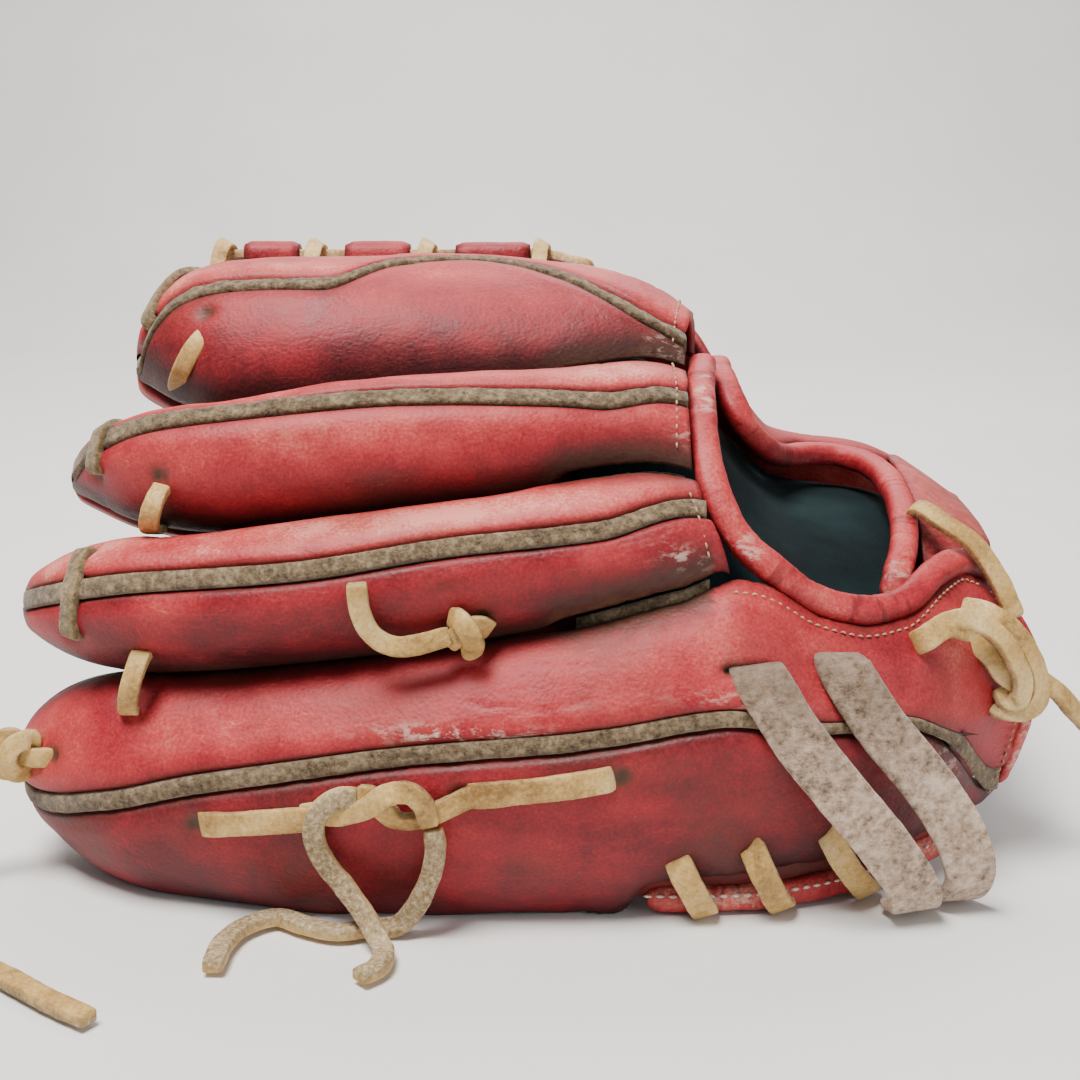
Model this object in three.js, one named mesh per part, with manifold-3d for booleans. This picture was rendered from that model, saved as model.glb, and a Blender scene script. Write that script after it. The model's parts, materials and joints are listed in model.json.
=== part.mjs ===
// Baseball glove standing like a tent: the pinky edge and the thumb edge rest on the ground, the
// backs of the four fingers face -Y, fingertips point to -X, the wrist to +X and +Z is up.
// Every piece is laid out on one curved base sheet, the palm leather, with three coordinates:
// x along the fingers, the angle a round the tent in degrees (0 at the pinky side, 90 on the ridge,
// 180 at the thumb side), and the height h above the palm leather. Millimetres.
import * as THREE from "three";
import Module from "manifold-3d";
import { mergeVertices } from "three/addons/utils/BufferGeometryUtils.js";

// ---------------------------------------------------------------- driving dimensions
const LEATHER = 2.2; // back leather
const PALM_LEATHER = 3.2;
const STALL_HEIGHT = 26; // crest of a finger stall above the palm leather
const INDEX_HEIGHT = 28;
const THUMB_HEIGHT = 28;
const TIP_ROUNDING = 45; // length over which a fingertip rounds off
const INDEX_TIP_ROUNDING = 34;
const THUMB_ROUNDING = 38;
const GAP = 0.35; // clearance between neighbouring pieces
const SEAM_GAP = 0.3;
const WELT_WIDTH = 4;
const WELT_PROUD = 0.8;
const WELT_CLEARANCE = 0.5;
const BINDING_RADIUS = 3.3;
const LACE_WIDTH = 6;
const LACE_THICKNESS = 2.2;
const STRAP_WIDTH = 14;
const STRAP_THICKNESS = 2.4;
const TAIL_RADIUS = 2.6;
const CENTRE_X = -5.01; // middle of the glove, free tails aside
const CENTRE_Y = 86.65;

// ---------------------------------------------------------------- the base sheet
// A smooth curve through hand-chosen [position, value] points.
function curve(points) {
  const xs = points.map((p) => p[0]);
  const ys = points.map((p) => p[1]);
  const last = xs.length - 1;
  const secant = (i) => (ys[i + 1] - ys[i]) / (xs[i + 1] - xs[i]);
  const slopes = xs.map((_, i) => {
    if (i === 0 || i === last) return 0;
    const before = secant(i - 1);
    const after = secant(i);
    return before * after <= 0 ? 0 : (2 * before * after) / (before + after);
  });
  return (x) => {
    if (x <= xs[0]) return ys[0];
    if (x >= xs[last]) return ys[last];
    let i = 0;
    while (x > xs[i + 1]) i++;
    const step = xs[i + 1] - xs[i];
    const t = (x - xs[i]) / step;
    const s = t * t * (3 - 2 * t);
    const bend = t * (1 - t) * ((1 - t) * slopes[i] - t * slopes[i + 1]) * step;
    return ys[i] * (1 - s) + ys[i + 1] * s + bend;
  };
}

const ridgeY = curve([[-145, 118], [0, 118], [70, 111], [140, 106]]);
const middleZ = curve([[-145, 36], [0, 36], [60, 40], [140, 42]]);
const nearReach = curve([[-145, 72], [-100, 86], [-50, 96], [0, 98], [45, 92], [72, 82], [100, 66], [140, 36]]);
const farReach = curve([[-145, 30], [-90, 36], [0, 40], [100, 38], [140, 26]]);
const topReach = curve([
  [-145, 88], [-100, 96], [-50, 98], [0, 96], [20, 92], [45, 78], [58, 56], [72, 40], [100, 35], [140, 14],
]);
const footReach = curve([
  [-145, 82], [-100, 90], [-50, 97], [45, 96], [72, 92], [100, 85], [125, 75], [140, 64],
]);

function place(x, a, h, floor = 0) {
  const turn = THREE.MathUtils.degToRad(a);
  const across = Math.cos(turn) > 0 ? nearReach(x) : farReach(x);
  const up = Math.sin(turn) > 0 ? topReach(x) : footReach(x);
  const y = ridgeY(x) - (across + h) * Math.cos(turn);
  const z = middleZ(x) + (up + h) * Math.sin(turn);
  return new THREE.Vector3(x, y, Math.max(z, floor));
}

function outward(x, a, h) {
  return place(x, a, h + 1, -1e3).sub(place(x, a, h, -1e3)).normalize();
}

// ---------------------------------------------------------------- finger stalls
const mix = (a, b, t) => a + (b - a) * t;
const clamp = THREE.MathUtils.clamp;

const FINGERS = ["pinky", "ring", "middle", "index"];
const FINGER_TIP = [-142, -139.5, -128.5, -118.5];
const edges = [
  curve([
    [-145, -22], [-110, -24.5], [-60, -26], [13, -25], [28, -14], [60, -14.5], [90, -17], [120, -17], [132, -15],
  ]),
  curve([
    [-145, 11], [-98, 11.8], [-57, 14.5], [-10, 18.5], [34, 24.5], [46, 28.5], [59, 31.9],
    [70, 31.4], [83, 29.2], [94, 30.4], [105, 37.8], [115, 43.5], [126, 41.5],
  ]),
  curve([[-145, 31.5], [-93, 32], [-57, 34.5], [-15, 37.6], [39, 42.4]]),
  curve([[-145, 50.5], [-88, 51.8], [-55, 55.6], [5, 59], [42, 64.5]]),
  curve([[-125, 92], [-100, 95], [0, 97], [36, 92], [48, 86]]),
];
const welts = [
  curve([[-142, -9], [-111, -4], [-83, 0], [-33, 4.4], [14, 6.7], [53, 9], [90, 7.2], [107, -0.5], [126, -12]]),
  curve([[-142, 21.5], [-96, 23.4], [-58, 25.2], [-22, 28.3], [14, 30.9], [43, 36.2]]),
  curve([[-132, 43], [-87, 45], [-35, 47.7], [15, 49], [39, 53]]),
  curve([[-122, 68], [-97, 70], [-60, 70], [-40, 76.5], [-17, 80], [6, 75], [30, 69.5], [45, 69]]),
];
// The middle and index fingertips stand clear of the finger below them.
const middleLow = curve([
  [-145, 37.5], [-126, 37], [-106, 34], [-88, 33.2], [-57, 34.5], [-15, 37.6], [39, 42.4],
]);
const indexLow = curve([
  [-145, 62], [-118, 61], [-100, 57.5], [-84, 54.6], [-70, 54.3], [-55, 55.6], [5, 59], [42, 64.5],
]);
const lowEdges = [edges[0], edges[1], middleLow, indexLow];
const valleyHeight = curve([[-75, 0], [0, 6], [45, 14]]);
const rimHeight = curve([[-75, 0], [0, 6], [45, 14], [60, 23], [140, 25]]);
const soleHeight = curve([[8, 0], [24, 20], [110, 17]]);
const seamHalfGap = curve([[-2, SEAM_GAP], [8, 2.1], [44, 2.1], [50, SEAM_GAP]]);

const thumbUpperEdge = curve([
  [-92, 157], [-20, 155], [0, 148], [20, 124], [38, 102], [47, 94], [53, 90], [57, 80], [62, 77],
  [70, 83], [80, 90], [90, 91.5], [98, 89.5], [130, 88.5],
]);
const thumbOuterEdge = curve([[-92, 202], [-70, 205], [-40, 207], [8, 206], [27, 194], [90, 195], [130, 192]]);
const thumbWelt = curve([[-92, 178], [0, 178], [60, 160], [126, 158]]);
const thumbRimHeight = curve([[-20, 0], [10, 8], [40, 16], [55, 22], [130, 24]]);

const stalls = FINGERS.map((name, i) => ({
  name,
  tip: FINGER_TIP[i],
  rounding: i === 3 ? INDEX_TIP_ROUNDING : TIP_ROUNDING,
  crest: i === 3 ? INDEX_HEIGHT : STALL_HEIGHT,
  low: lowEdges[i],
  high: edges[i + 1],
  welt: welts[i],
  lowHeight: i === 0 ? soleHeight : valleyHeight,
  highHeight: i === 0 ? rimHeight : valleyHeight,
  lowGap: i === 0 ? () => 0 : seamHalfGap,
  highGap: i === 3 ? () => 0 : seamHalfGap,
  closesAtWrist: i === 0,
}));
const [pinky, ring, middle, index] = stalls;
const thumb = {
  name: "thumb",
  tip: -92,
  rounding: THUMB_ROUNDING,
  crest: THUMB_HEIGHT,
  low: thumbUpperEdge,
  high: thumbOuterEdge,
  welt: thumbWelt,
  lowHeight: thumbRimHeight,
  highHeight: soleHeight,
  lowGap: () => SEAM_GAP,
  highGap: () => 0,
  closesAtWrist: true,
};

function roundness(d, rounding) {
  const t = 1 - clamp(d / rounding, 0, 1);
  return Math.max(Math.sqrt(1 - Math.pow(t, 2.5)), 0.06);
}

// Degrees round the tent that a length spans at the stall's mid height.
function spanDegrees(x, length) {
  return THREE.MathUtils.radToDeg(length / (nearReach(x) + STALL_HEIGHT / 2));
}

// The stall's section at x: where it starts and ends, and how round it is there.
function section(stall, x) {
  const round = roundness(x - stall.tip, stall.rounding);
  const low = stall.low(x);
  const high = stall.high(x);
  return { round, middle: (low + high) / 2, half: ((high - low) / 2) * round };
}

// Height of the outer skin at a place across the stall: phi runs from -1 to 1, edge to edge.
function domeHeight(stall, x, phi, inset) {
  const { round } = section(stall, x);
  const edge = mix(stall.lowHeight(x), stall.highHeight(x), (phi + 1) / 2);
  const dome = Math.pow(Math.max(1 - phi * phi, 0), 0.45);
  return edge + Math.max(stall.crest - edge - inset, 0) * dome * round;
}

// A point on the skin, or inset below it. The inner skin also draws in at the tip and, by the
// share given, away from the stall's edge.
function skinPoint(stall, x, phi, inset, edgeShare) {
  const d = x - stall.tip;
  const inner = d < stall.rounding ? stall.tip + inset + (d * (stall.rounding - inset)) / stall.rounding : x;
  const { middle, half } = section(stall, x);
  const drawIn = Math.min(spanDegrees(x, inset), half * 0.5) * edgeShare;
  const a = middle + phi * half - Math.sign(phi) * drawIn;
  return place(inner, a, GAP + domeHeight(stall, x, phi, inset), inset);
}

// Where an angle falls across the stall.
function across(stall, x, a) {
  const { middle, half } = section(stall, x);
  return (a - middle) / half;
}

function skinHeight(stall, x, a) {
  return domeHeight(stall, x, clamp(across(stall, x, a), -1, 1), 0);
}

// ---------------------------------------------------------------- solids
// A sheet with thickness: two grids of points, joined by walls along every open edge.
function thickSheet(rows, columns, outer, inner, keep = () => true) {
  const position = [];
  for (const layer of [outer, inner])
    for (let i = 0; i <= rows; i++) for (let j = 0; j <= columns; j++) position.push(...layer(i, j).toArray());
  const width = columns + 1;
  const top = (i, j) => i * width + j;
  const bottom = (i, j) => (rows + 1) * width + top(i, j);
  const kept = (i, j) => i >= 0 && j >= 0 && i < rows && j < columns && keep(i, j);
  const faces = [];
  const quad = (p, q, r, s) => faces.push(p, q, r, p, r, s);
  const wall = (p, q) => quad(top(...p), bottom(...p), bottom(...q), top(...q));
  for (let i = 0; i < rows; i++)
    for (let j = 0; j < columns; j++) {
      if (!kept(i, j)) continue;
      quad(top(i, j), top(i + 1, j), top(i + 1, j + 1), top(i, j + 1));
      quad(bottom(i, j), bottom(i, j + 1), bottom(i + 1, j + 1), bottom(i + 1, j));
      if (!kept(i, j - 1)) wall([i, j], [i + 1, j]);
      if (!kept(i + 1, j)) wall([i + 1, j], [i + 1, j + 1]);
      if (!kept(i, j + 1)) wall([i + 1, j + 1], [i, j + 1]);
      if (!kept(i - 1, j)) wall([i, j + 1], [i, j]);
    }
  return closed(position, faces);
}

// A geometry from points and faces, turned so that its faces point out.
function closed(position, faces) {
  const geometry = new THREE.BufferGeometry();
  geometry.setAttribute("position", new THREE.Float32BufferAttribute(position, 3));
  const point = (i) => new THREE.Vector3().fromArray(position, 3 * i);
  let volume = 0;
  for (let i = 0; i < faces.length; i += 3)
    volume += point(faces[i]).dot(point(faces[i + 1]).cross(point(faces[i + 2])));
  const turned = volume < 0 ? faces.toReversed() : faces;
  geometry.setIndex(turned);
  return geometry;
}

// A flat strip that follows a path: points with the direction its face looks in.
function ribbon(path, width, thickness, segments) {
  const line = new THREE.CatmullRomCurve3(path.map((p) => p.at), false, "centripetal");
  const facing = new THREE.CatmullRomCurve3(path.map((p) => p.up), false, "centripetal");
  const frames = [];
  for (let i = 0; i <= segments; i++) {
    const t = i / segments;
    const along = line.getTangent(t);
    const side = new THREE.Vector3().crossVectors(along, facing.getPoint(t)).normalize();
    const up = new THREE.Vector3().crossVectors(side, along).normalize();
    frames.push({ at: line.getPoint(t), side, up });
  }
  const corner = (i, j, lift) => {
    const { at, side, up } = frames[i];
    return at.clone().addScaledVector(side, (j - 0.5) * width).addScaledVector(up, lift * thickness);
  };
  return thickSheet(segments, 1, (i, j) => corner(i, j, 0.5), (i, j) => corner(i, j, -0.5));
}

function tube(points, radius, sides, steps) {
  const shape = new THREE.Shape();
  for (let i = 0; i < sides; i++) {
    const t = (2 * Math.PI * i) / sides;
    if (i === 0) shape.moveTo(radius, 0);
    else shape.lineTo(radius * Math.cos(t), radius * Math.sin(t));
  }
  const path = new THREE.CatmullRomCurve3(points, false, "centripetal");
  return new THREE.ExtrudeGeometry(shape, { steps, extrudePath: path, curveSegments: 1 });
}

const wasm = await Module();
wasm.setup();

function toSolid(geometry) {
  const plain = geometry.index ? geometry.toNonIndexed() : geometry.clone();
  plain.deleteAttribute("normal");
  plain.deleteAttribute("uv");
  const merged = mergeVertices(plain, 1e-3);
  return new wasm.Manifold(
    new wasm.Mesh({
      numProp: 3,
      vertProperties: merged.attributes.position.array,
      triVerts: new Uint32Array(merged.index.array),
    }),
  );
}

function toGeometry(solid) {
  const mesh = solid.getMesh();
  const geometry = new THREE.BufferGeometry();
  geometry.setAttribute("position", new THREE.BufferAttribute(mesh.vertProperties, 3));
  geometry.setIndex(new THREE.BufferAttribute(mesh.triVerts, 1));
  return geometry;
}

// ---------------------------------------------------------------- materials
const leather = { color: 0x9c1f2b, roughness: 0.55, metalness: 0 };
const palm = { color: 0x8c1b26, roughness: 0.6, metalness: 0 };
const binding = { color: 0x8f2430, roughness: 0.6, metalness: 0 };
const suede = { color: 0x7b6650, roughness: 0.95, metalness: 0 };
const lace = { color: 0xb98d4f, roughness: 0.8, metalness: 0 };
const strap = { color: 0xa18a72, roughness: 0.95, metalness: 0 };
const lining = { color: 0x1d3334, roughness: 0.85, metalness: 0 };
const padding = { color: 0xb9ab93, roughness: 0.95, metalness: 0 };

const glove = new THREE.Group();
glove.position.set(-CENTRE_X, -CENTRE_Y, 0);

function add(name, geometry, finish) {
  const mesh = new THREE.Mesh(geometry, new THREE.MeshStandardMaterial(finish));
  mesh.name = name;
  glove.add(mesh);
}

// ---------------------------------------------------------------- back panels and their welts
const BACK_ROWS = 17;
const LONG_ROWS = 26;
const TIP_ROWS = 6;

// Positions along a stall: close together where the tip rounds off, even after that.
function alongStall(stall, end, row, rows) {
  if (row <= TIP_ROWS) return stall.tip + stall.rounding * (1 - Math.cos(((row / TIP_ROWS) * Math.PI) / 2));
  const start = stall.tip + stall.rounding;
  return mix(start, end, (row - TIP_ROWS) / (rows - TIP_ROWS));
}

// Half of a stall's back, from one edge (side -1 or 1) to the welt.
function backPanel(stall, side, columns, rows, endAt) {
  const grid = (inset) => (i, j) => {
    const share = j / columns;
    const x = alongStall(stall, endAt(side, share), i, rows);
    const { half } = section(stall, x);
    const edgeGap = spanDegrees(x, side < 0 ? stall.lowGap(x) : stall.highGap(x)) / half;
    const closing = stall.closesAtWrist && i === rows;
    const seam = spanDegrees(x, closing ? SEAM_GAP : WELT_WIDTH / 2 + WELT_CLEARANCE) / half;
    const seamPhi = across(stall, x, stall.welt(x));
    const room = Math.abs(seamPhi - side);
    const inner = seamPhi + side * Math.min(seam, room * 0.4);
    const outer = side * (1 - Math.min(edgeGap, room * 0.4));
    const phi = mix(outer, inner, 1 - Math.pow(1 - share, 1.5));
    return skinPoint(stall, x, phi, inset, Math.pow(1 - share, 3) * Math.sign(side * phi));
  };
  return thickSheet(rows, columns, grid(0), grid(LEATHER));
}

function weltStrip(stall, rows, end) {
  const first = 3;
  const last = stall.closesAtWrist ? rows - 1 : rows;
  const grid = (depth) => (i, j) => {
    const x = alongStall(stall, end, i + first, rows);
    const a = stall.welt(x) + (j - 0.5) * spanDegrees(x, WELT_WIDTH);
    return place(x, a, GAP + skinHeight(stall, x, stall.welt(x)) + depth);
  };
  return thickSheet(last - first, 1, grid(WELT_PROUD), grid(-LEATHER));
}

// A short welt in the valley between two stalls, near their base.
function crotchWelt(stall, start, end, rows) {
  const grid = (depth) => (i, j) => {
    const x = mix(start, end, i / rows);
    const a = stall.high(x) + (j - 0.5) * 2 * spanDegrees(x, 1.6);
    return place(x, a, GAP + valleyHeight(x) + depth);
  };
  return thickSheet(rows, 1, grid(2), grid(-LEATHER));
}

// Where the backs of the ring, middle and index stalls end, short of the hand opening.
function knuckleEnd(stall) {
  return (side, share) => {
    const edge = side < 0 ? stall.low(42) : stall.high(42);
    const a = mix(edge, stall.welt(42), share);
    return 38 + (a < 48 ? 0.02 : 0.005) * (a - 48) ** 2;
  };
}

// The wrist ends of the pinky and thumb backs are rounded, furthest out in the middle.
function wristEnd(stall) {
  const at = 126;
  const low = stall.low(at);
  const high = stall.high(at);
  return (side, share) => {
    const a = mix(side < 0 ? low : high, stall.welt(at), share);
    const fromMiddle = (2 * a - low - high) / (high - low);
    return 134 - 9 * fromMiddle * fromMiddle;
  };
}

for (const stall of [ring, middle, index])
  for (const [side, part] of [[-1, "lower"], [1, "upper"]])
    add(`${stall.name}_back_${part}`, backPanel(stall, side, 4, BACK_ROWS, knuckleEnd(stall)), leather);
for (const stall of [pinky, thumb])
  for (const [side, part] of [[-1, stall === pinky ? "lower" : "upper"], [1, stall === pinky ? "upper" : "lower"]])
    add(`${stall.name}_back_${part}`, backPanel(stall, side, 5, LONG_ROWS, wristEnd(stall)), leather);

for (const stall of [pinky, thumb])
  add(`${stall.name}_welt`, weltStrip(stall, LONG_ROWS, wristEnd(stall)(1, 1)), suede);
for (const stall of [ring, middle, index])
  add(`${stall.name}_welt`, weltStrip(stall, BACK_ROWS, knuckleEnd(stall)(1, 1)), suede);
add("pinky_ring_crotch_welt", crotchWelt(pinky, 9, 42, 6), suede);
add("ring_middle_crotch_welt", crotchWelt(ring, 9, 37, 6), suede);
add("middle_index_crotch_welt", crotchWelt(middle, 9, 37, 6), suede);

// ---------------------------------------------------------------- palm leather
const FORK_X = -76; // the finger strips of the palm join here
const PALM_END = 124;
const PALM_ROWS = 16;
const FORK_ROWS = 6;
const FINGER_COLUMNS = 4;
const palmTopEdge = curve([[-125, 92], [-100, 95], [0, 95.6], [34, 95], [130, 95]]);
const palmCurl = curve([[16, 0], [30, 10], [124, 9]]);

// Where the glove rests, the palm leather lies on the edge of the back leather.
const palmFloor = (h) => LEATHER + 2 * GAP - Math.min(h, 0);

// The palm under the fingers is one sheet, slit between the finger strips.
function fingerPalm() {
  const perFinger = FINGER_COLUMNS + 1;
  const grid = (h) => (i, j) => {
    const finger = Math.floor(j / perFinger);
    const stall = stalls[finger];
    const phi = mix(-1, 1, (j % perFinger) / FINGER_COLUMNS);
    const tipShare = 1 - Math.cos(((i / FORK_ROWS) * Math.PI) / 2);
    const x = i <= FORK_ROWS
      ? mix(stall.tip, FORK_X, tipShare)
      : mix(FORK_X, PALM_END, (i - FORK_ROWS) / (PALM_ROWS - FORK_ROWS));
    const low = stall.low(x);
    const high = stall === index ? palmTopEdge(x) : stall.high(x);
    const half = ((high - low) / 2) * roundness(x - stall.tip, stall.rounding) - spanDegrees(x, 0.3);
    const curl = j === 0 ? palmCurl(x) : 0;
    return place(x, (low + high) / 2 + phi * half, h + curl, palmFloor(h));
  };
  const columns = FINGERS.length * perFinger - 1;
  const isSlit = (j) => j % perFinger === FINGER_COLUMNS;
  return thickSheet(PALM_ROWS, columns, grid(0), grid(-PALM_LEATHER), (i, j) => !isSlit(j) || i >= FORK_ROWS);
}

const thumbPalmEdge = curve([[-92, 157], [-20, 155], [0, 148], [12, 130], [24, 108], [32, 105], [130, 105]]);

function thumbPalm() {
  const rows = 24;
  const columns = 8;
  const grid = (h) => (i, j) => {
    const x = alongStall(thumb, PALM_END, i, rows);
    const low = thumbPalmEdge(x);
    const high = thumb.high(x);
    const half = ((high - low) / 2) * roundness(x - thumb.tip, thumb.rounding);
    return place(x, (low + high) / 2 + mix(-1, 1, j / columns) * half, h, palmFloor(h));
  };
  return thickSheet(rows, columns, grid(0), grid(-PALM_LEATHER));
}

// A plain patch of sheet between two angles, from one height to another.
function patch(xs, lowAngle, highAngle, lowHeight, thickness, rows, columns) {
  const grid = (extra) => (i, j) => {
    const x = mix(xs[0], xs[1], i / rows);
    const a = mix(lowAngle(x), highAngle(x), j / columns);
    return place(x, a, lowHeight(x, a) + extra, 3 - Math.min(extra, 1));
  };
  return thickSheet(rows, columns, grid(thickness), grid(0));
}

add("palm_finger_side", fingerPalm(), palm);
add("palm_thumb_side", thumbPalm(), palm);
const creaseLow = () => 95.6;
const creaseHigh = () => 104.4;
add("palm_crease", patch([34, PALM_END], creaseLow, creaseHigh, () => -PALM_LEATHER, PALM_LEATHER, 12, 2), palm);

// ---------------------------------------------------------------- padding and lining of the hand space
const PAD_THICKNESS = 6.5;
const PAD_CLEARANCE = 2.8;
const LINING_THICKNESS = 1.2;
const liningHeight = curve([[8, 1.2], [44, 2], [70, 10.8], [120, 10.8]]);
add("pinky_heel_pad", patch([74, 120], () => -8, () => 55, () => PAD_CLEARANCE + 0.4, PAD_THICKNESS, 5, 5), padding);
add("thumb_heel_pad", patch([74, 120], () => 118, () => 190, () => PAD_CLEARANCE, PAD_THICKNESS, 5, 6), padding);
add("finger_side_lining", patch([10, 118], () => -6, () => 94, liningHeight, LINING_THICKNESS, 9, 8), lining);
add("thumb_side_lining", patch([34, 118], () => 106, () => 188, liningHeight, LINING_THICKNESS, 7, 7), lining);

// ---------------------------------------------------------------- bindings
const atSheet = (points) => points.map(([x, a, h]) => place(x, a, h));
const RIM_HEIGHT = 22.5;
const nearRim = [
  [46, 73], [43.5, 62], [42.5, 51], [44, 42], [49, 36.5], [59, 35], [70, 34.5], [83, 32.5], [94, 34],
  [104, 41], [115, 47], [124, 46.5],
].map(([x, a]) => [x, a, x > 55 ? RIM_HEIGHT + 2 : RIM_HEIGHT - 3]);
const farRim = [
  [52, 84], [52.5, 76], [56, 70], [64, 73], [72, 81], [81, 86], [90, 87], [98, 82], [101, 68], [98, 50], [94.5, 42],
].map(([x, a]) => [x, a, RIM_HEIGHT]);
add("hand_opening_binding_near", tube(atSheet(nearRim), BINDING_RADIUS, 8, 44), binding);
add("hand_opening_binding_far", tube(atSheet(farRim), BINDING_RADIUS, 8, 36), binding);

const pinkyEdge = [[27, 7.5, 3.7], [40, 7, 3.8], [58, 8.6, 4], [78, 16, 4.4], [94, 25.5, 5], [108, 35.5, 6.5]];
const vectors = (points) => points.map(([x, y, z]) => new THREE.Vector3(x, y, z));
add("pinky_edge_binding", tube(vectors(pinkyEdge), BINDING_RADIUS, 8, 20), binding);

// ---------------------------------------------------------------- wrist strap
const strapHeight = (x, a) => mix(25, 17, clamp((62 - a) / 14, 0, 1));
const wristStrap = patch([105, 128], () => 33, () => 87, strapHeight, LEATHER, 5, 9);
add("wrist_strap", wristStrap, leather);

// The thumb's heel edge is bound like the pinky's.
const thumbEdge = [[27, 175, 5.2], [60, 169, 7], [90, 162, 9.2], [112, 156.5, 14.3]];

// ---------------------------------------------------------------- laces on the fingers
// A flat lace that lies on the glove: points as [x, a, h], facing outward.
function laceAlong(points, width = LACE_WIDTH, segments = 8) {
  const path = points.map(([x, a, h]) => ({ at: place(x, a, h), up: outward(x, a, h) }));
  return ribbon(path, width, LACE_THICKNESS, segments);
}

const LACE_LIFT = LACE_THICKNESS / 2 + 0.6;
const onSkin = (stall, x, a, extra = 0) => [x, a, GAP + skinHeight(stall, x, a) + LACE_LIFT + extra];

// A lace stitch pulled flat on a stall: each point is moved out along the skin's own normal.
function stitchOn(stall, points, segments = 6) {
  const skin = (x, a) => place(x, a, GAP + skinHeight(stall, x, a));
  const path = points.map(([x, a]) => {
    const along = skin(x + 2, a).sub(skin(x - 2, a));
    const round = skin(x, a + 2).sub(skin(x, a - 2));
    const up = new THREE.Vector3().crossVectors(along, round).normalize();
    if (up.dot(outward(x, a, 0)) < 0) up.negate();
    return { at: skin(x, a).addScaledVector(up, LACE_LIFT + 1), up };
  });
  return ribbon(path, LACE_WIDTH, LACE_THICKNESS, segments);
}

add("index_tip_stitch", stitchOn(index, [[-102, 86], [-106, 79], [-110, 71]]), lace);
add("middle_tip_stitch", stitchOn(middle, [[-112, 49], [-113.6, 44.6], [-115.4, 40.4]]), lace);
add("ring_tip_stitch", stitchOn(ring, [[-115.6, 27], [-116.8, 22.2], [-118, 17.3]]), lace);

// A lace that bridges the valley between two fingertips.
function valleyLoop(upper, lower, x) {
  const valley = (upper.low(x) + lower.high(x)) / 2;
  return laceAlong([
    onSkin(upper, x + 1, valley + 5, 0.6),
    [x, valley + 2, STALL_HEIGHT - 4],
    [x - 1, valley - 1.5, STALL_HEIGHT - 4],
    onSkin(lower, x - 2, valley - 4.5, 0.6),
  ], 5);
}
add("index_middle_lace", valleyLoop(index, middle, -91), lace);
add("middle_ring_lace", valleyLoop(middle, ring, -94), lace);
add("ring_pinky_lace", valleyLoop(ring, pinky, -99), lace);

// A tight overhand knot of lace: three turns that cross one another round a solid middle.
const KNOT_TURNS = 3;
const KNOT_LACE_RADIUS = 2;
const KNOT_FLATNESS = 0.62;
function knot(x, y, z, size, turn) {
  const loops = [new THREE.IcosahedronGeometry(size, 1)];
  for (let i = 0; i < KNOT_TURNS; i++) {
    const loop = new THREE.TorusGeometry(size, KNOT_LACE_RADIUS, 6, 14);
    loop.rotateX(Math.PI / 2);
    loop.rotateZ(0.3 + (i * Math.PI) / KNOT_TURNS);
    loops.push(loop);
  }
  const solids = loops.map((loop) => toSolid(loop.scale(1, KNOT_FLATNESS, 1).rotateY(turn).translate(x, y, z)));
  return toGeometry(solids.reduce((whole, loop) => whole.add(loop)));
}

function tail(points, steps) {
  return tube(vectors(points), TAIL_RADIUS, 8, steps);
}

add("pinky_tip_knot", knot(-138.2, 27.8, 34.5, 3.4, 0), lace);
const pinkyTipTail = [
  [-146.2, 27.5, 31.5], [-149.5, 24, 25.5], [-152, 15, 17], [-151.5, 4, 10], [-147, -7, 5], [-139, -16, 2.9],
  [-131, -23.5, 2.8], [-124, -28.8, 2.8], [-110, -39.7, 2.8], [-98, -47.9, 2.8],
];
add("pinky_tip_tail", tail(pinkyTipTail, 12), lace);

add("panel_lace_front_stitch", stitchOn(pinky, [[-82, -4.5], [-70, -3.6], [-58, -2.8]]), lace);
add("panel_lace_back_stitch", stitchOn(pinky, [[-15, 0.6], [0, 1.4], [16, 2.1]]), lace);
add("panel_lace_knot", knot(-34.4, -9.8, 35.3, 4.6, 0.3), lace);
const leftTail = [
  [-43.4, -8.6, 37.6], [-48, -8.5, 37.2], [-53, -8.2, 33.2], [-54.2, -7.8, 27.2], [-52, -7.2, 20.4],
  [-47.2, -7.8, 14], [-42, -10.5, 7.6], [-38.4, -15, 3.6], [-36.8, -19.5, 2.8], [-37.6, -26, 2.8], [-41.5, -30.2, 2.8],
];
add("panel_lace_left_tail", tail(leftTail, 10), strap);
const rightTail = [
  [-25.4, -9.4, 29.6], [-25, -9.2, 24.8], [-26, -8.6, 18.6], [-28.4, -7.8, 12], [-31.4, -6.8, 6.6], [-35, -6.3, 3],
  [-42, -7, 2.8], [-49, -9, 2.8], [-57, -6, 2.8], [-65, -1.5, 2.8], [-72, -6, 2.8], [-75.5, -14, 2.8],
  [-76, -26, 2.8],
];
add("panel_lace_right_tail", tail(rightTail, 12), strap);

add("ring_gap_knot", knot(-18.5, 3.2, 73.6, 3.4, 0.6), lace);
const ringGapTail = [
  [-25, 3.2, 73], [-29.4, 3.1, 71.8], [-34, 2.9, 71.4], [-37.8, 2.6, 72.6], [-40.9, 2, 75.8], [-42.7, 1.6, 80.4],
  [-43.4, 1.4, 87.5],
];
add("ring_gap_tail", tail(ringGapTail, 4), lace);

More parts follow.
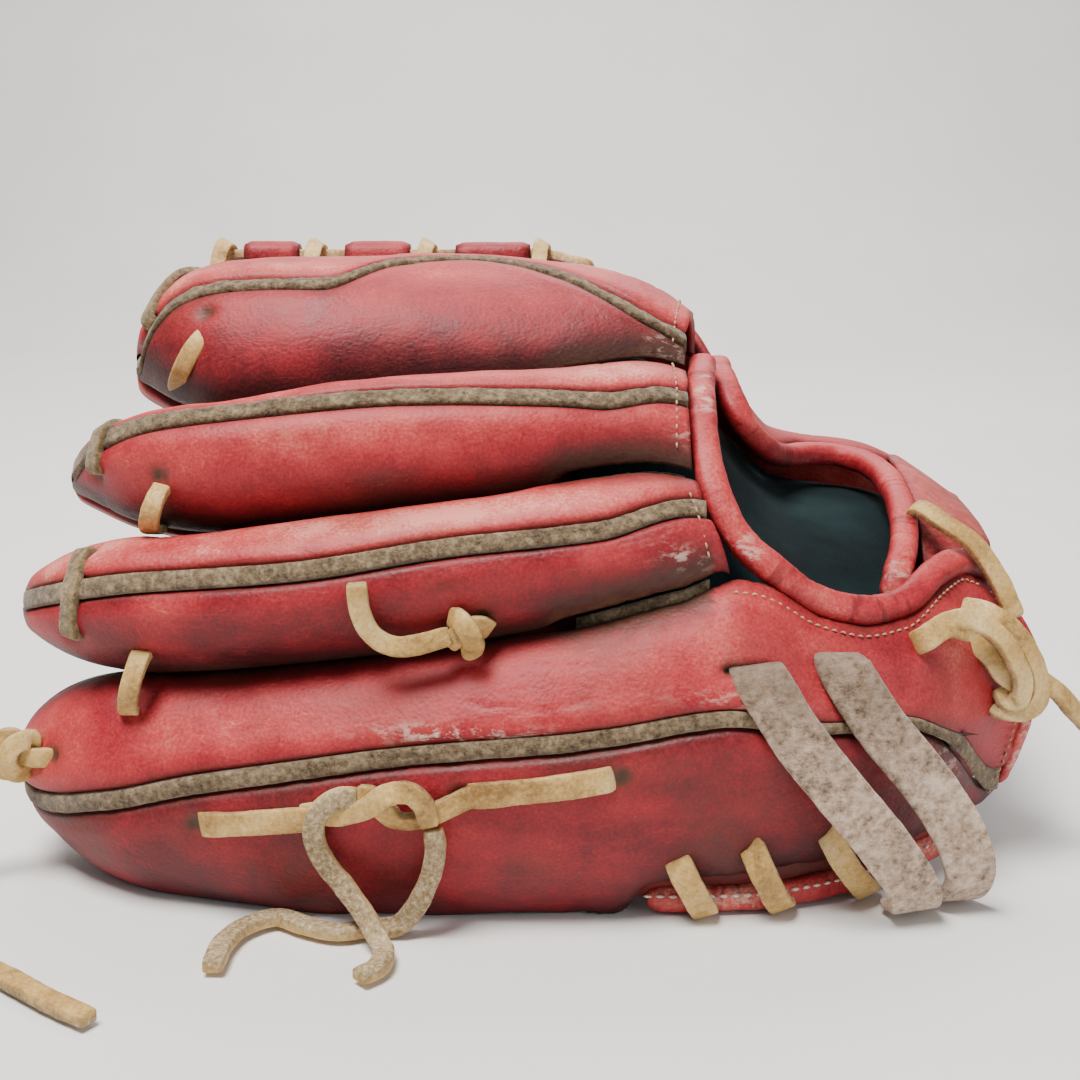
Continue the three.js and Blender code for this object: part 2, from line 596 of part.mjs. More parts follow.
// ---------------------------------------------------------------- pinky loop straps
const outwardY = [0, -1, 0];
function strapRibbon(points, segments) {
  const path = points.map(([at, up]) => ({ at: new THREE.Vector3(...at), up: new THREE.Vector3(...up) }));
  return ribbon(path, STRAP_WIDTH, STRAP_THICKNESS, segments);
}
add("pinky_loop_strap_front", strapRibbon([
  [[51, -1.8, 68], outwardY], [[60, -6, 55.5], outwardY], [[73, -8, 39.5], outwardY], [[84.5, -5, 25], outwardY],
  [[93, 0, 13], [0.2, -1, -0.2]], [[97, 8, 4.5], [0.2, -0.6, -1]],
], 12), strap);
add("pinky_loop_strap_back", strapRibbon([
  [[75, 6.5, 67], outwardY], [[84, 3, 53], outwardY], [[95, 2, 38], outwardY], [[103.5, 4.5, 25], outwardY],
  [[107.5, 9, 13], [0.2, -1, -0.2]], [[106, 17, 4.5], [0.2, -0.6, -1]],
], 12), strap);

// ---------------------------------------------------------------- edge lacing and wrist lacing
const edgeStitches = [
  [[34, -1.4, 17], [37, -2, 11], [40, 0.2, 5], [41, 2, 2.8]],
  [[53, -0.8, 19], [56, -1, 12], [59, 2, 6], [61, 4.5, 2.8]],
  [[73, 5.6, 20], [77, 6, 13], [81, 8.6, 7.5], [84, 11.6, 3.2]],
];
edgeStitches.forEach((points, i) => {
  const path = vectors(points).map((at) => ({ at, up: new THREE.Vector3(0, -1, -0.2) }));
  add(`edge_stitch_${i + 1}`, ribbon(path, LACE_WIDTH + 2, LACE_THICKNESS, 6), lace);
});
const wristLace = [[103, 57, 28.6], [109, 52, 31.6], [117, 48, 33], [124, 40, 31.5], [128, 31, 29]];
add("wrist_lace", laceAlong(wristLace, 5, 8), lace);
add("wrist_lace_loop", laceAlong([[97, 24.5, 29.4], [104, 27, 31], [111, 25.5, 32]], 7, 5), lace);
add("wrist_knot", knot(121.7, 30.4, 57.9, 4.2, -0.6), lace);
const wristTail = [
  [129, 32, 54.4], [135.7, 33.5, 50], [142, 36, 43.5], [148, 40, 37.6], [152.4, 43, 34.6],
];
add("wrist_tail", tail(wristTail, 4), lace);

// ---------------------------------------------------------------- web
// Three leather bars bridge from the index finger to the thumb. Each is rolled round a lace at both
// ends, and one post runs over all three.
const BAR_THICKNESS = 2.6;
const ROLL_RADIUS = 4.6;
const ROLL_BORE = 2.6;
const WEB_LACE_RADIUS = 2.1;
const indexRoll = [128.5, 158.5];
const thumbRoll = [163, 96];
const barLine = [[132, 158.5], [143, 153.5], [153.5, 141], [160, 123], [163, 99.6]];
const bars = [[-91, -74], [-60, -40], [-26, -3]];

function cylinderAlongX(radius, x0, x1, [y, z]) {
  const geometry = new THREE.CylinderGeometry(radius, radius, x1 - x0, 12);
  geometry.rotateZ(Math.PI / 2);
  geometry.translate((x0 + x1) / 2, y, z);
  return toSolid(geometry);
}

function webBar(x0, x1) {
  const middleX = (x0 + x1) / 2;
  const path = barLine.map(([y, z]) => ({
    at: new THREE.Vector3(middleX, y, z),
    up: new THREE.Vector3(0, y - ridgeY(0) + 8, z - 90),
  }));
  let bar = toSolid(ribbon(path, x1 - x0, BAR_THICKNESS, 8));
  for (const roll of [indexRoll, thumbRoll]) bar = bar.add(cylinderAlongX(ROLL_RADIUS, x0, x1, roll));
  for (const roll of [indexRoll, thumbRoll]) {
    bar = bar.subtract(cylinderAlongX(ROLL_BORE, x0 - 1, x1 + 1, roll));
  }
  return toGeometry(bar);
}
bars.forEach(([x0, x1], i) => add(`web_bar_${i + 1}`, webBar(x0, x1), leather));

const POST_WIDTH = 14;
const postPath = [-96, -60, -30, 0, 14].map((x) => ({
  at: new THREE.Vector3(x, 156.5, 145.5),
  up: new THREE.Vector3(0, 0.75, 0.65),
}));
add("web_post", ribbon(postPath, POST_WIDTH, BAR_THICKNESS, 6), leather);

const webLaceIndex = [
  [-98, ...indexRoll], [-60, ...indexRoll], [-14, ...indexRoll], [2, ...indexRoll], [16, 124, 155.5],
];
const webLaceThumb = [[-94, ...thumbRoll], [-50, ...thumbRoll], [2, ...thumbRoll]];
add("web_lace_index", tube(vectors(webLaceIndex), WEB_LACE_RADIUS, 8, 14), lace);
add("web_lace_thumb", tube(vectors(webLaceThumb), WEB_LACE_RADIUS, 8, 12), lace);
add("thumb_edge_binding", tube(vectors(thumbEdge), BINDING_RADIUS, 8, 14), binding);

export default glove;
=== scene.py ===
import json
import math

import bmesh
import bpy
import numpy as np
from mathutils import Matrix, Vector


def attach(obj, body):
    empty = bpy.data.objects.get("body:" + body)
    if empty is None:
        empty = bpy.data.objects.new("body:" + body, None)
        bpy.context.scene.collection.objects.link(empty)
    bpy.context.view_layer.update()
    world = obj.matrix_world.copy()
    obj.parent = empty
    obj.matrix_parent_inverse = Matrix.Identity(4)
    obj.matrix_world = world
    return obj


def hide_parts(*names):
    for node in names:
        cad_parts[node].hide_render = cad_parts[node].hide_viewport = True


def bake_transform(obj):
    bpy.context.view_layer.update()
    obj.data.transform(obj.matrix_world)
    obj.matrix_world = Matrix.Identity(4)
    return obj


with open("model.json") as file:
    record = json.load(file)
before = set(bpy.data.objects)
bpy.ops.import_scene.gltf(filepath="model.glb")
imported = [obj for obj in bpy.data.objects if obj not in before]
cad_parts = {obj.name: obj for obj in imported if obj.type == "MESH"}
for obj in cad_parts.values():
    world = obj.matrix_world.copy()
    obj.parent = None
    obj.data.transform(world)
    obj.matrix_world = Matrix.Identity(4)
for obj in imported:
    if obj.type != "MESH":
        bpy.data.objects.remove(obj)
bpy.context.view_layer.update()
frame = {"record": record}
record = frame["record"]
BODY = {node: body for body, nodes in record["behaviour"]["bodies"].items() for node in nodes}
SLOT = {part["node"]: part["material_slot"] for part in record["subparts"]}

# All shapes are laid out in millimetres, as in the CAD source, and moved to the row frame at the end.
CENTRE = np.array([-5.01, 86.65, 0.0])
LEATHER, PALM_LEATHER = 2.2, 3.2  # thickness
STALL_HEIGHT = 26  # crest of a finger stall above the base sheet
GAP = 0.35  # between the base sheet and what lies on it
WELT_WIDTH = 4
KNUCKLE_X, WRIST_X = 42, 126  # where the stalls' ends at the hand opening and at the wrist are measured
RIM_X, RIM_A = 38, 48  # the foremost point of the finger backs' edge at the hand opening
WRIST_END, WRIST_BOW = 134, 9  # the wrist edge, and how far its corners stand back
CAMERA_TILT, HALF_VIEW = 13.1, 20  # degrees


def metres(points):
    return (np.asarray(points, float) - CENTRE) / 1000


# ---------------------------------------------------------------- camera
camera = bpy.data.objects.new("camera", bpy.data.cameras.new("camera"))
bpy.context.scene.collection.objects.link(camera)
bpy.context.scene.camera = camera
camera.location = (0.00501, -0.42465, 0.177)
camera.rotation_euler = (math.radians(90 - CAMERA_TILT), 0, 0)
camera.data.sensor_width = 36
camera.data.lens = camera.data.sensor_width / 2 / math.tan(math.radians(HALF_VIEW))
camera.data.clip_start = 0.01


# ---------------------------------------------------------------- numbers
def mix(a, b, t):
    return a + (b - a) * t


def smooth(x, low, high):
    t = np.clip((x - low) / (high - low), 0, 1)
    return t * t * (3 - 2 * t)


def bell(distance, width):
    return np.exp(-((distance / width) ** 2))


def curve(points):
    """A smooth curve through [position, value] points, flat at both ends."""
    xs, ys = np.array(points, float).T
    secant = np.diff(ys) / np.diff(xs)
    before, after = secant[:-1], secant[1:]
    slopes = np.zeros(len(xs))
    rising = before * after > 0
    slopes[1:-1][rising] = 2 * before[rising] * after[rising] / (before + after)[rising]

    def at(x):
        x = np.clip(x, xs[0], xs[-1])
        i = np.clip(np.searchsorted(xs, x, side="right") - 1, 0, len(xs) - 2)
        step = xs[i + 1] - xs[i]
        t = (x - xs[i]) / step
        s = t * t * (3 - 2 * t)
        bend = t * (1 - t) * ((1 - t) * slopes[i] - t * slopes[i + 1]) * step
        return ys[i] * (1 - s) + ys[i + 1] * s + bend

    return at


def value_noise(points, size, seed=0):
    """Smooth noise from -1 to 1 over cells of that size in millimetres."""
    q = np.asarray(points, float) / size
    cell = np.floor(q).astype(np.int64)
    f = q - cell
    f = f * f * (3 - 2 * f)
    total = 0.0
    for corner in range(8):
        step = np.array([corner & 1, corner >> 1 & 1, corner >> 2 & 1])
        c = cell + step
        h = (c[..., 0] * 374761393 + c[..., 1] * 668265263 + c[..., 2] * 1440662683 + seed * 974711) & 0xFFFFFFFF
        h = ((h ^ (h >> 13)) * 1274126177) & 0xFFFFFFFF
        value = ((h ^ (h >> 16)) & 0xFFFF) / 32767.5 - 1
        total = total + value * np.prod(np.where(step, f, 1 - f), axis=-1)
    return total


def fractal(points, size, octaves=3, seed=0):
    return sum(value_noise(points, size / 2**k, seed + k) / 2**k for k in range(octaves))


def unit(v):
    return v / np.maximum(np.linalg.norm(v, axis=-1, keepdims=True), 1e-9)


# ---------------------------------------------------------------- the base sheet of the glove
ridge_y = curve([[-145, 118], [0, 118], [70, 111], [140, 106]])
middle_z = curve([[-145, 36], [0, 36], [60, 40], [140, 42]])
near_reach = curve([[-145, 72], [-100, 86], [-50, 96], [0, 98], [45, 92], [72, 82], [100, 66], [140, 36]])
far_reach = curve([[-145, 30], [-90, 36], [0, 40], [100, 38], [140, 26]])
top_reach = curve([[-145, 88], [-100, 96], [-50, 98], [0, 96], [20, 92],
                   [45, 78], [58, 56], [72, 40], [100, 35], [140, 14]])
foot_reach = curve([[-145, 82], [-100, 90], [-50, 97], [45, 96], [72, 92], [100, 85], [125, 75], [140, 64]])


def place(x, a, h, floor=0.0):
    """A point at distance x along the glove, angle a in degrees round it and height h above the base sheet."""
    x, a, h = np.broadcast_arrays(np.asarray(x, float), np.asarray(a, float), np.asarray(h, float))
    turn = np.radians(a)
    across = np.where(np.cos(turn) > 0, near_reach(x), far_reach(x))
    up = np.where(np.sin(turn) > 0, top_reach(x), foot_reach(x))
    y = ridge_y(x) - (across + h) * np.cos(turn)
    z = middle_z(x) + (up + h) * np.sin(turn)
    return np.stack([x, y, np.maximum(z, floor)], axis=-1)


def outward(x, a, h):
    return unit(place(x, a, np.asarray(h) + 1, -1e3) - place(x, a, h, -1e3))


# ---------------------------------------------------------------- finger stalls
edges = [
    curve([[-145, -22], [-110, -24.5], [-60, -26], [13, -25], [28, -14], [60, -14.5],
           [90, -17], [120, -17], [132, -15]]),
    curve([[-145, 11], [-98, 11.8], [-57, 14.5], [-10, 18.5], [34, 24.5], [46, 28.5], [59, 31.9],
           [70, 31.4], [83, 29.2], [94, 30.4], [105, 37.8], [115, 43.5], [126, 41.5]]),
    curve([[-145, 31.5], [-93, 32], [-57, 34.5], [-15, 37.6], [39, 42.4]]),
    curve([[-145, 50.5], [-88, 51.8], [-55, 55.6], [5, 59], [42, 64.5]]),
    curve([[-125, 92], [-100, 95], [0, 97], [36, 92], [48, 86]]),
]
welts = [
    curve([[-142, -9], [-111, -4], [-83, 0], [-33, 4.4], [14, 6.7], [53, 9], [90, 7.2], [107, -0.5],
           [126, -12]]),
    curve([[-142, 21.5], [-96, 23.4], [-58, 25.2], [-22, 28.3], [14, 30.9], [43, 36.2]]),
    curve([[-132, 43], [-87, 45], [-35, 47.7], [15, 49], [39, 53]]),
    curve([[-122, 68], [-97, 70], [-60, 70], [-40, 76.5], [-17, 80], [6, 75], [30, 69.5], [45, 69]]),
]
middle_low = curve([[-145, 37.5], [-126, 37], [-106, 34], [-88, 33.2], [-57, 34.5], [-15, 37.6], [39, 42.4]])
index_low = curve([[-145, 62], [-118, 61], [-100, 57.5], [-84, 54.6], [-70, 54.3], [-55, 55.6], [5, 59],
                   [42, 64.5]])
low_edges = [edges[0], edges[1], middle_low, index_low]
valley_height = curve([[-75, 0], [0, 6], [45, 14]])
rim_height = curve([[-75, 0], [0, 6], [45, 14], [60, 23], [140, 25]])
sole_height = curve([[8, 0], [24, 20], [110, 17]])
seam_half_gap = curve([[-2, 0.1], [8, 1.7], [44, 1.7], [50, 0.1]])
thumb_upper_edge = curve([[-92, 157], [-20, 155], [0, 148], [20, 124], [38, 102], [47, 94], [53, 90],
                          [57, 80], [62, 77], [70, 83], [80, 90], [90, 91.5], [98, 89.5], [130, 88.5]])
thumb_outer_edge = curve([[-92, 202], [-70, 205], [-40, 207], [8, 206], [27, 194], [90, 195], [130, 192]])
thumb_welt_line = curve([[-92, 178], [0, 178], [60, 160], [126, 158]])
thumb_rim_height = curve([[-20, 0], [10, 8], [40, 16], [55, 22], [130, 24]])


def none(x):
    return np.zeros_like(np.asarray(x, float))


class Stall:
    """A finger's two back panels. Across it phi runs from -1 at the low edge to 1 at the high edge."""

    def __init__(self, name, tip, rounding, crest, low, high, welt,
                 low_height, high_height, low_gap, high_gap, closes):
        self.name, self.tip, self.rounding, self.crest = name, tip, rounding, crest
        self.low, self.high, self.welt = low, high, welt
        self.low_height, self.high_height = low_height, high_height
        self.low_gap, self.high_gap, self.closes = low_gap, high_gap, closes

    def section(self, x):
        d = np.clip((x - self.tip) / self.rounding, 0, 1)
        roundness = np.maximum(np.sqrt(1 - (1 - d) ** 2.5), 0.06)
        low, high = self.low(x), self.high(x)
        return roundness, (low + high) / 2, (high - low) / 2 * roundness

    def across(self, x, a):
        _, middle, half = self.section(x)
        return (a - middle) / half

    def seam(self, x):
        """Where the welt runs, kept off the edges at the pointed fingertip."""
        return np.clip(self.across(x, self.welt(x)), -0.88, 0.88)

    def height(self, x, phi):
        roundness, _, _ = self.section(x)
        edge = mix(self.low_height(x), self.high_height(x), (phi + 1) / 2)
        dome = np.maximum(1 - phi * phi, 0) ** 0.45
        return edge + np.maximum(self.crest - edge, 0) * dome * roundness

    def skin(self, x, phi, lift=0.0):
        _, middle, half = self.section(x)
        return place(x, middle + phi * half, GAP + self.height(x, phi) + lift)

    def skin_at(self, x, a, lift=0.0):
        return self.skin(x, np.clip(self.across(x, a), -1, 1), lift)

    def normal_at(self, x, a):
        along = self.skin_at(x + 1.5, a) - self.skin_at(x - 1.5, a)
        round_ = self.skin_at(x, a + 1.5) - self.skin_at(x, a - 1.5)
        n = unit(np.cross(along, round_))
        return n if np.dot(n, outward(x, a, 0.0)) > 0 else -n


names = ["pinky", "ring", "middle", "index"]
tips = [-142, -139.5, -128.5, -118.5]
stalls = [
    Stall(name, tips[i], 34 if i == 3 else 45, 28 if i == 3 else STALL_HEIGHT,
          low_edges[i], edges[i + 1], welts[i],
          sole_height if i == 0 else valley_height, rim_height if i == 0 else valley_height,
          none if i == 0 else seam_half_gap, none if i == 3 else seam_half_gap, i == 0)
    for i, name in enumerate(names)
]
pinky, ring, middle, index = stalls
thumb = Stall("thumb", -92, 38, 28, thumb_upper_edge, thumb_outer_edge, thumb_welt_line,
              thumb_rim_height, sole_height, none, none, True)


def span(x, length):
    """A length across a stall as an angle."""
    return np.degrees(length / (near_reach(x) + STALL_HEIGHT / 2))


def rim_edge(a):
    return RIM_X + np.where(a < RIM_A, 0.02, 0.005) * (a - RIM_A) ** 2


def end_edge(stall):
    """Where a stall's panels end: share runs from an edge to the welt."""
    at = WRIST_X if stall.closes else KNUCKLE_X
    low, high, welt = stall.low(at), stall.high(at), stall.welt(at)

    def end(side, share):
        a = mix(low if side < 0 else high, welt, share)
        if stall.closes:
            return WRIST_END - WRIST_BOW * ((2 * a - low - high) / (high - low)) ** 2
        return rim_edge(a)
    return end


# ---------------------------------------------------------------- meshes
def new_object(name, points, faces, material, attributes=None, flat=False):
    mesh = bpy.data.meshes.new(name)
    mesh.from_pydata(metres(points).tolist(), [], [tuple(int(i) for i in f) for f in faces])
    mesh.materials.append(material)
    for key, values in (attributes or {}).items():
        mesh.attributes.new(key, "FLOAT", "POINT").data.foreach_set("value", np.asarray(values, np.float32).ravel())
    bm = bmesh.new()
    bm.from_mesh(mesh)
    bmesh.ops.recalc_face_normals(bm, faces=bm.faces)
    bm.to_mesh(mesh)
    bm.free()
    if not flat:
        mesh.shade_smooth()
    made = bpy.data.objects.new(name, mesh)
    bpy.context.scene.collection.objects.link(made)
    return made


def wear(tone, grime=0.0, scuff=0.0):
    """The leather's attributes, one value for each point of tone."""
    # The second attribute holds real dirt together with painted shade.
    return {"tone": tone, "grime": grime + 0 * tone, "scuff": scuff + 0 * tone}


def grid_normals(grid):
    along = np.gradient(grid, axis=0)
    across = np.gradient(grid, axis=1)
    return unit(np.cross(along, across))


def thick_sheet(name, top, bottom, material, attributes=None, keep=None):
    """Two grids of points, joined by walls along every open edge."""
    rows, columns = top.shape[:2]
    number = np.arange(rows * columns).reshape(rows, columns)
    kept = np.ones((rows - 1, columns - 1), bool) if keep is None else keep
    faces = []
    count = rows * columns
    for i, j in zip(*np.nonzero(kept)):
        a, b, c, d = number[i, j], number[i + 1, j], number[i + 1, j + 1], number[i, j + 1]
        faces.append((a, b, c, d))
        faces.append((a + count, d + count, c + count, b + count))
        if j == 0 or not kept[i, j - 1]:
            faces.append((a, a + count, b + count, b))
        if i == rows - 2 or not kept[i + 1, j]:
            faces.append((b, b + count, c + count, c))
        if j == columns - 2 or not kept[i, j + 1]:
            faces.append((c, c + count, d + count, d))
        if i == 0 or not kept[i - 1, j]:
            faces.append((d, d + count, a + count, a))
    points = np.concatenate([top.reshape(-1, 3), bottom.reshape(-1, 3)])
    doubled = {k: np.concatenate([np.ravel(v), np.ravel(v)]) for k, v in (attributes or {}).items()}
    return new_object(name, points, faces, material, doubled)


def smooth_path(points, spacing):
    """Points at an even spacing along a centripetal Catmull-Rom curve, and each one's place between those given."""
    p = np.asarray(points, float)
    full = np.concatenate([[2 * p[0] - p[1]], p, [2 * p[-1] - p[-2]]])
    out, where = [], []
    for i in range(1, len(full) - 2):
        p0, p1, p2, p3 = full[i - 1:i + 3]
        t0 = 0.0
        t1 = t0 + max(np.linalg.norm(p1 - p0), 1e-6) ** 0.5
        t2 = t1 + max(np.linalg.norm(p2 - p1), 1e-6) ** 0.5
        t3 = t2 + max(np.linalg.norm(p3 - p2), 1e-6) ** 0.5
        for t in np.linspace(t1, t2, 24, endpoint=False):
            a1 = (t1 - t) / (t1 - t0) * p0 + (t - t0) / (t1 - t0) * p1
            a2 = (t2 - t) / (t2 - t1) * p1 + (t - t1) / (t2 - t1) * p2
            a3 = (t3 - t) / (t3 - t2) * p2 + (t - t2) / (t3 - t2) * p3
            b1 = (t2 - t) / (t2 - t0) * a1 + (t - t0) / (t2 - t0) * a2
            b2 = (t3 - t) / (t3 - t1) * a2 + (t - t1) / (t3 - t1) * a3
            out.append((t2 - t) / (t2 - t1) * b1 + (t - t1) / (t2 - t1) * b2)
            where.append(i - 1 + (t - t1) / (t2 - t1))
    out.append(p[-1])
    where.append(len(p) - 1)
    out, where = np.array(out), np.array(where)
    run = run_along(out)
    even = np.linspace(0, run[-1], max(int(run[-1] / spacing) + 1, 4))
    even_points = np.stack([np.interp(even, run, out[:, k]) for k in range(3)], axis=1)
    return even_points, np.interp(even, run, where)


def run_along(path):
    return np.concatenate([[0], np.cumsum(np.linalg.norm(np.diff(path, axis=0), axis=1))])


def sweep_rings(path, ups, width, thickness, sides=16, squareness=0.3, wobble=0.05, seed=0, ends=(0.75, 0.75)):
    """Rings of a flat strip that follows a path, its flat side facing ups."""
    along = unit(np.gradient(path, axis=0))
    side = unit(np.cross(along, ups))
    up = unit(np.cross(side, along))
    angle = 2 * np.pi * (np.arange(sides) + 0.5) / sides
    c, s = np.cos(angle), np.sin(angle)
    profile_x = np.sign(c) * np.abs(c) ** squareness * width / 2
    profile_y = np.sign(s) * np.abs(s) ** squareness * thickness / 2
    vary = 1 + wobble * value_noise(path, 5.0, seed)[:, None]
    run = run_along(path)
    rounding = thickness * 0.6
    start = 1 - (1 - ends[0]) * np.clip(1 - run / rounding, 0, 1) ** 2
    finish = 1 - (1 - ends[1]) * np.clip(1 - (run[-1] - run) / rounding, 0, 1) ** 2
    size = (vary[:, 0] * start * finish)[:, None]
    rings = (path[:, None] + side[:, None] * (profile_x * size)[:, :, None]
             + up[:, None] * (profile_y * size)[:, :, None])
    fuzz = 0.07 * value_noise(rings, 0.9, seed + 5) + 0.08 * value_noise(rings, 2.4, seed + 6)
    rings = rings + unit(rings - path[:, None]) * fuzz[:, :, None]
    rough_side = np.broadcast_to(smooth(-s, -0.35, 0.35), rings.shape[:2])
    return rings, rough_side


def ring_faces(rings, sides, first=0):
    faces = []
    for i in range(rings - 1):
        for j in range(sides):
            k = (j + 1) % sides
            faces.append((first + i * sides + j, first + i * sides + k,
                          first + (i + 1) * sides + k, first + (i + 1) * sides + j))
    faces.append(tuple(first + j for j in reversed(range(sides))))
    faces.append(tuple(first + (rings - 1) * sides + j for j in range(sides)))
    return faces


def ups_along(ups, where):
    ups = np.asarray(ups, float)
    if ups.ndim == 1:
        return np.broadcast_to(ups, (len(where), 3))
    knots = np.arange(len(ups))
    return unit(np.stack([np.interp(where, knots, ups[:, k]) for k in range(3)], axis=1))


def strips(name, runs, material, width, thickness, spacing=0.8, **shape):
    """One mesh of one or more flat strips, each given as its points and the way its flat side faces."""
    points, faces, rough, centres = [], [], [], []
    sides = shape.pop("sides", 16)
    for seed, (line, ups) in enumerate(runs):
        path, where = smooth_path(line, spacing)
        up = ups_along(ups, where)
        rings, rough_side = sweep_rings(path, up, width, thickness, sides, seed=seed, **shape)
        faces += ring_faces(len(path), sides, sum(len(p) for p in points))
        points.append(rings.reshape(-1, 3))
        rough.append(rough_side.ravel())
        centres.append(path)
    made = new_object(name, np.concatenate(points), faces, material, {"rough_side": np.concatenate(rough)})
    return made, centres[0]


def stitches(name, line, normals, material, pitch=3.1, length=2.1, radius=0.42, sink=0.05):
    """A row of short thread stitches along a line of points."""
    path, where = smooth_path(line, pitch)
    up = ups_along(normals, where)
    along = unit(np.gradient(path, axis=0))
    side = unit(np.cross(along, up))
    points, faces = [], []
    rings, sides = 5, 8
    for i in range(len(path)):
        base = len(points)
        for r in range(rings):
            t = -1 + 2 * r / (rings - 1)
            size = max(1 - abs(t) ** 3, 0.35) * radius
            centre = path[i] + along[i] * t * length / 2 + up[i] * (radius * (0.7 - 0.9 * t * t) - sink)
            for k in range(sides):
                w = 2 * np.pi * k / sides
                points.append(centre + side[i] * size * math.cos(w) + up[i] * size * math.sin(w))
        faces += ring_faces(rings, sides, base)
    return new_object(name, np.array(points), faces, material)


def show(made, *nodes, body=None, slot=None):
    """The piece stands for these CAD nodes and rides with their body."""
    if nodes:
        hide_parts(*nodes)
    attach(made, body or BODY[nodes[0]])
    return made


def bend(made, *nodes, start, end, slot=None):
    """A piece that stands for these CAD nodes, with its transform baked into its mesh; start and end are not used.
    """
    if nodes:
        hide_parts(*nodes)
    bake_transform(made)
    return made


# ---------------------------------------------------------------- materials
class Graph:
    def __init__(self, name):
        self.material = bpy.data.materials.new(name)
        self.material.use_nodes = True
        self.tree = self.material.node_tree
        self.tree.nodes.clear()

    def add(self, kind, inputs=None, output=0, **settings):
        node = self.tree.nodes.new(kind)
        for key, value in settings.items():
            setattr(node, key, value)
        for key, value in (inputs or {}).items():
            socket = node.inputs[key]
            if isinstance(value, bpy.types.NodeSocket):
                self.tree.links.new(value, socket)
            else:
                socket.default_value = value
        return node.outputs[output] if node.outputs else node

    def math(self, operation, a, b=0.0, clamp=False):
        return self.add("ShaderNodeMath", {0: a, 1: b}, operation=operation, use_clamp=clamp)

    def total(self, first, second):
        """The sum of two (value, share) terms."""
        return self.math("ADD", self.math("MULTIPLY", *first), self.math("MULTIPLY", *second))

    def off_middle(self, noise, share):
        return self.math("MULTIPLY", self.math("SUBTRACT", noise, 0.5), share)

    def contour(self, noise, width, on=1.0, off=0.0):
        """Thin lines where the noise crosses its middle."""
        return self.range(self.math("ABSOLUTE", self.math("SUBTRACT", noise, 0.5)), 0.0, width, on, off)

    def attribute(self, name):
        return self.add("ShaderNodeAttribute", output=2, attribute_name=name)

    def place(self, scale=(1, 1, 1)):
        coordinates = self.add("ShaderNodeTexCoord", output=3)
        return self.add("ShaderNodeMapping", {"Vector": coordinates, "Scale": scale})

    def noise(self, scale, detail=3, roughness=0.55, stretch=(1, 1, 1), distortion=0.0):
        inputs = {"Vector": self.place(stretch), "Scale": scale, "Detail": detail,
                  "Roughness": roughness, "Distortion": distortion}
        return self.add("ShaderNodeTexNoise", inputs)

    def cells(self, scale, stretch=(1, 1, 1)):
        return self.add("ShaderNodeTexVoronoi", {"Vector": self.place(stretch), "Scale": scale, "Smoothness": 0.35},
                        feature="SMOOTH_F1")

    def range(self, value, low, high, to_low=0.0, to_high=1.0):
        return self.add("ShaderNodeMapRange", {0: value, 1: low, 2: high, 3: to_low, 4: to_high}, clamp=True)

    def blend(self, factor, a, b):
        node = self.tree.nodes.new("ShaderNodeMix")
        node.data_type = "RGBA"
        self.tree.links.new(factor, node.inputs[0])
        for socket, value in ((node.inputs[6], a), (node.inputs[7], b)):
            if isinstance(value, bpy.types.NodeSocket):
                self.tree.links.new(value, socket)
            else:
                socket.default_value = (*value, 1)
        return node.outputs[2]

    def ramp(self, factor, stops):
        node = self.tree.nodes.new("ShaderNodeValToRGB")
        self.tree.links.new(factor, node.inputs[0])
        elements = node.color_ramp.elements
        while len(elements) < len(stops):
            elements.new(0.5)
        for element, (at, colour) in zip(elements, stops):
            element.position = at
            element.color = (*colour, 1)
        return node.outputs[0]

    def bump(self, height, distance, strength=1.0, normal=None):
        inputs = {"Height": height, "Distance": distance, "Strength": strength}
        if normal is not None:
            inputs["Normal"] = normal
        return self.add("ShaderNodeBump", inputs)

    def surface(self, colour, roughness, normal=None, **constants):
        inputs = {"Base Color": colour, "Roughness": roughness}
        if normal is not None:
            inputs["Normal"] = normal
        for key, value in constants.items():
            inputs[key.replace("_", " ")] = value
        shader = self.add("ShaderNodeBsdfPrincipled", inputs)
        self.add("ShaderNodeOutputMaterial", {"Surface": shader})
        return self.material


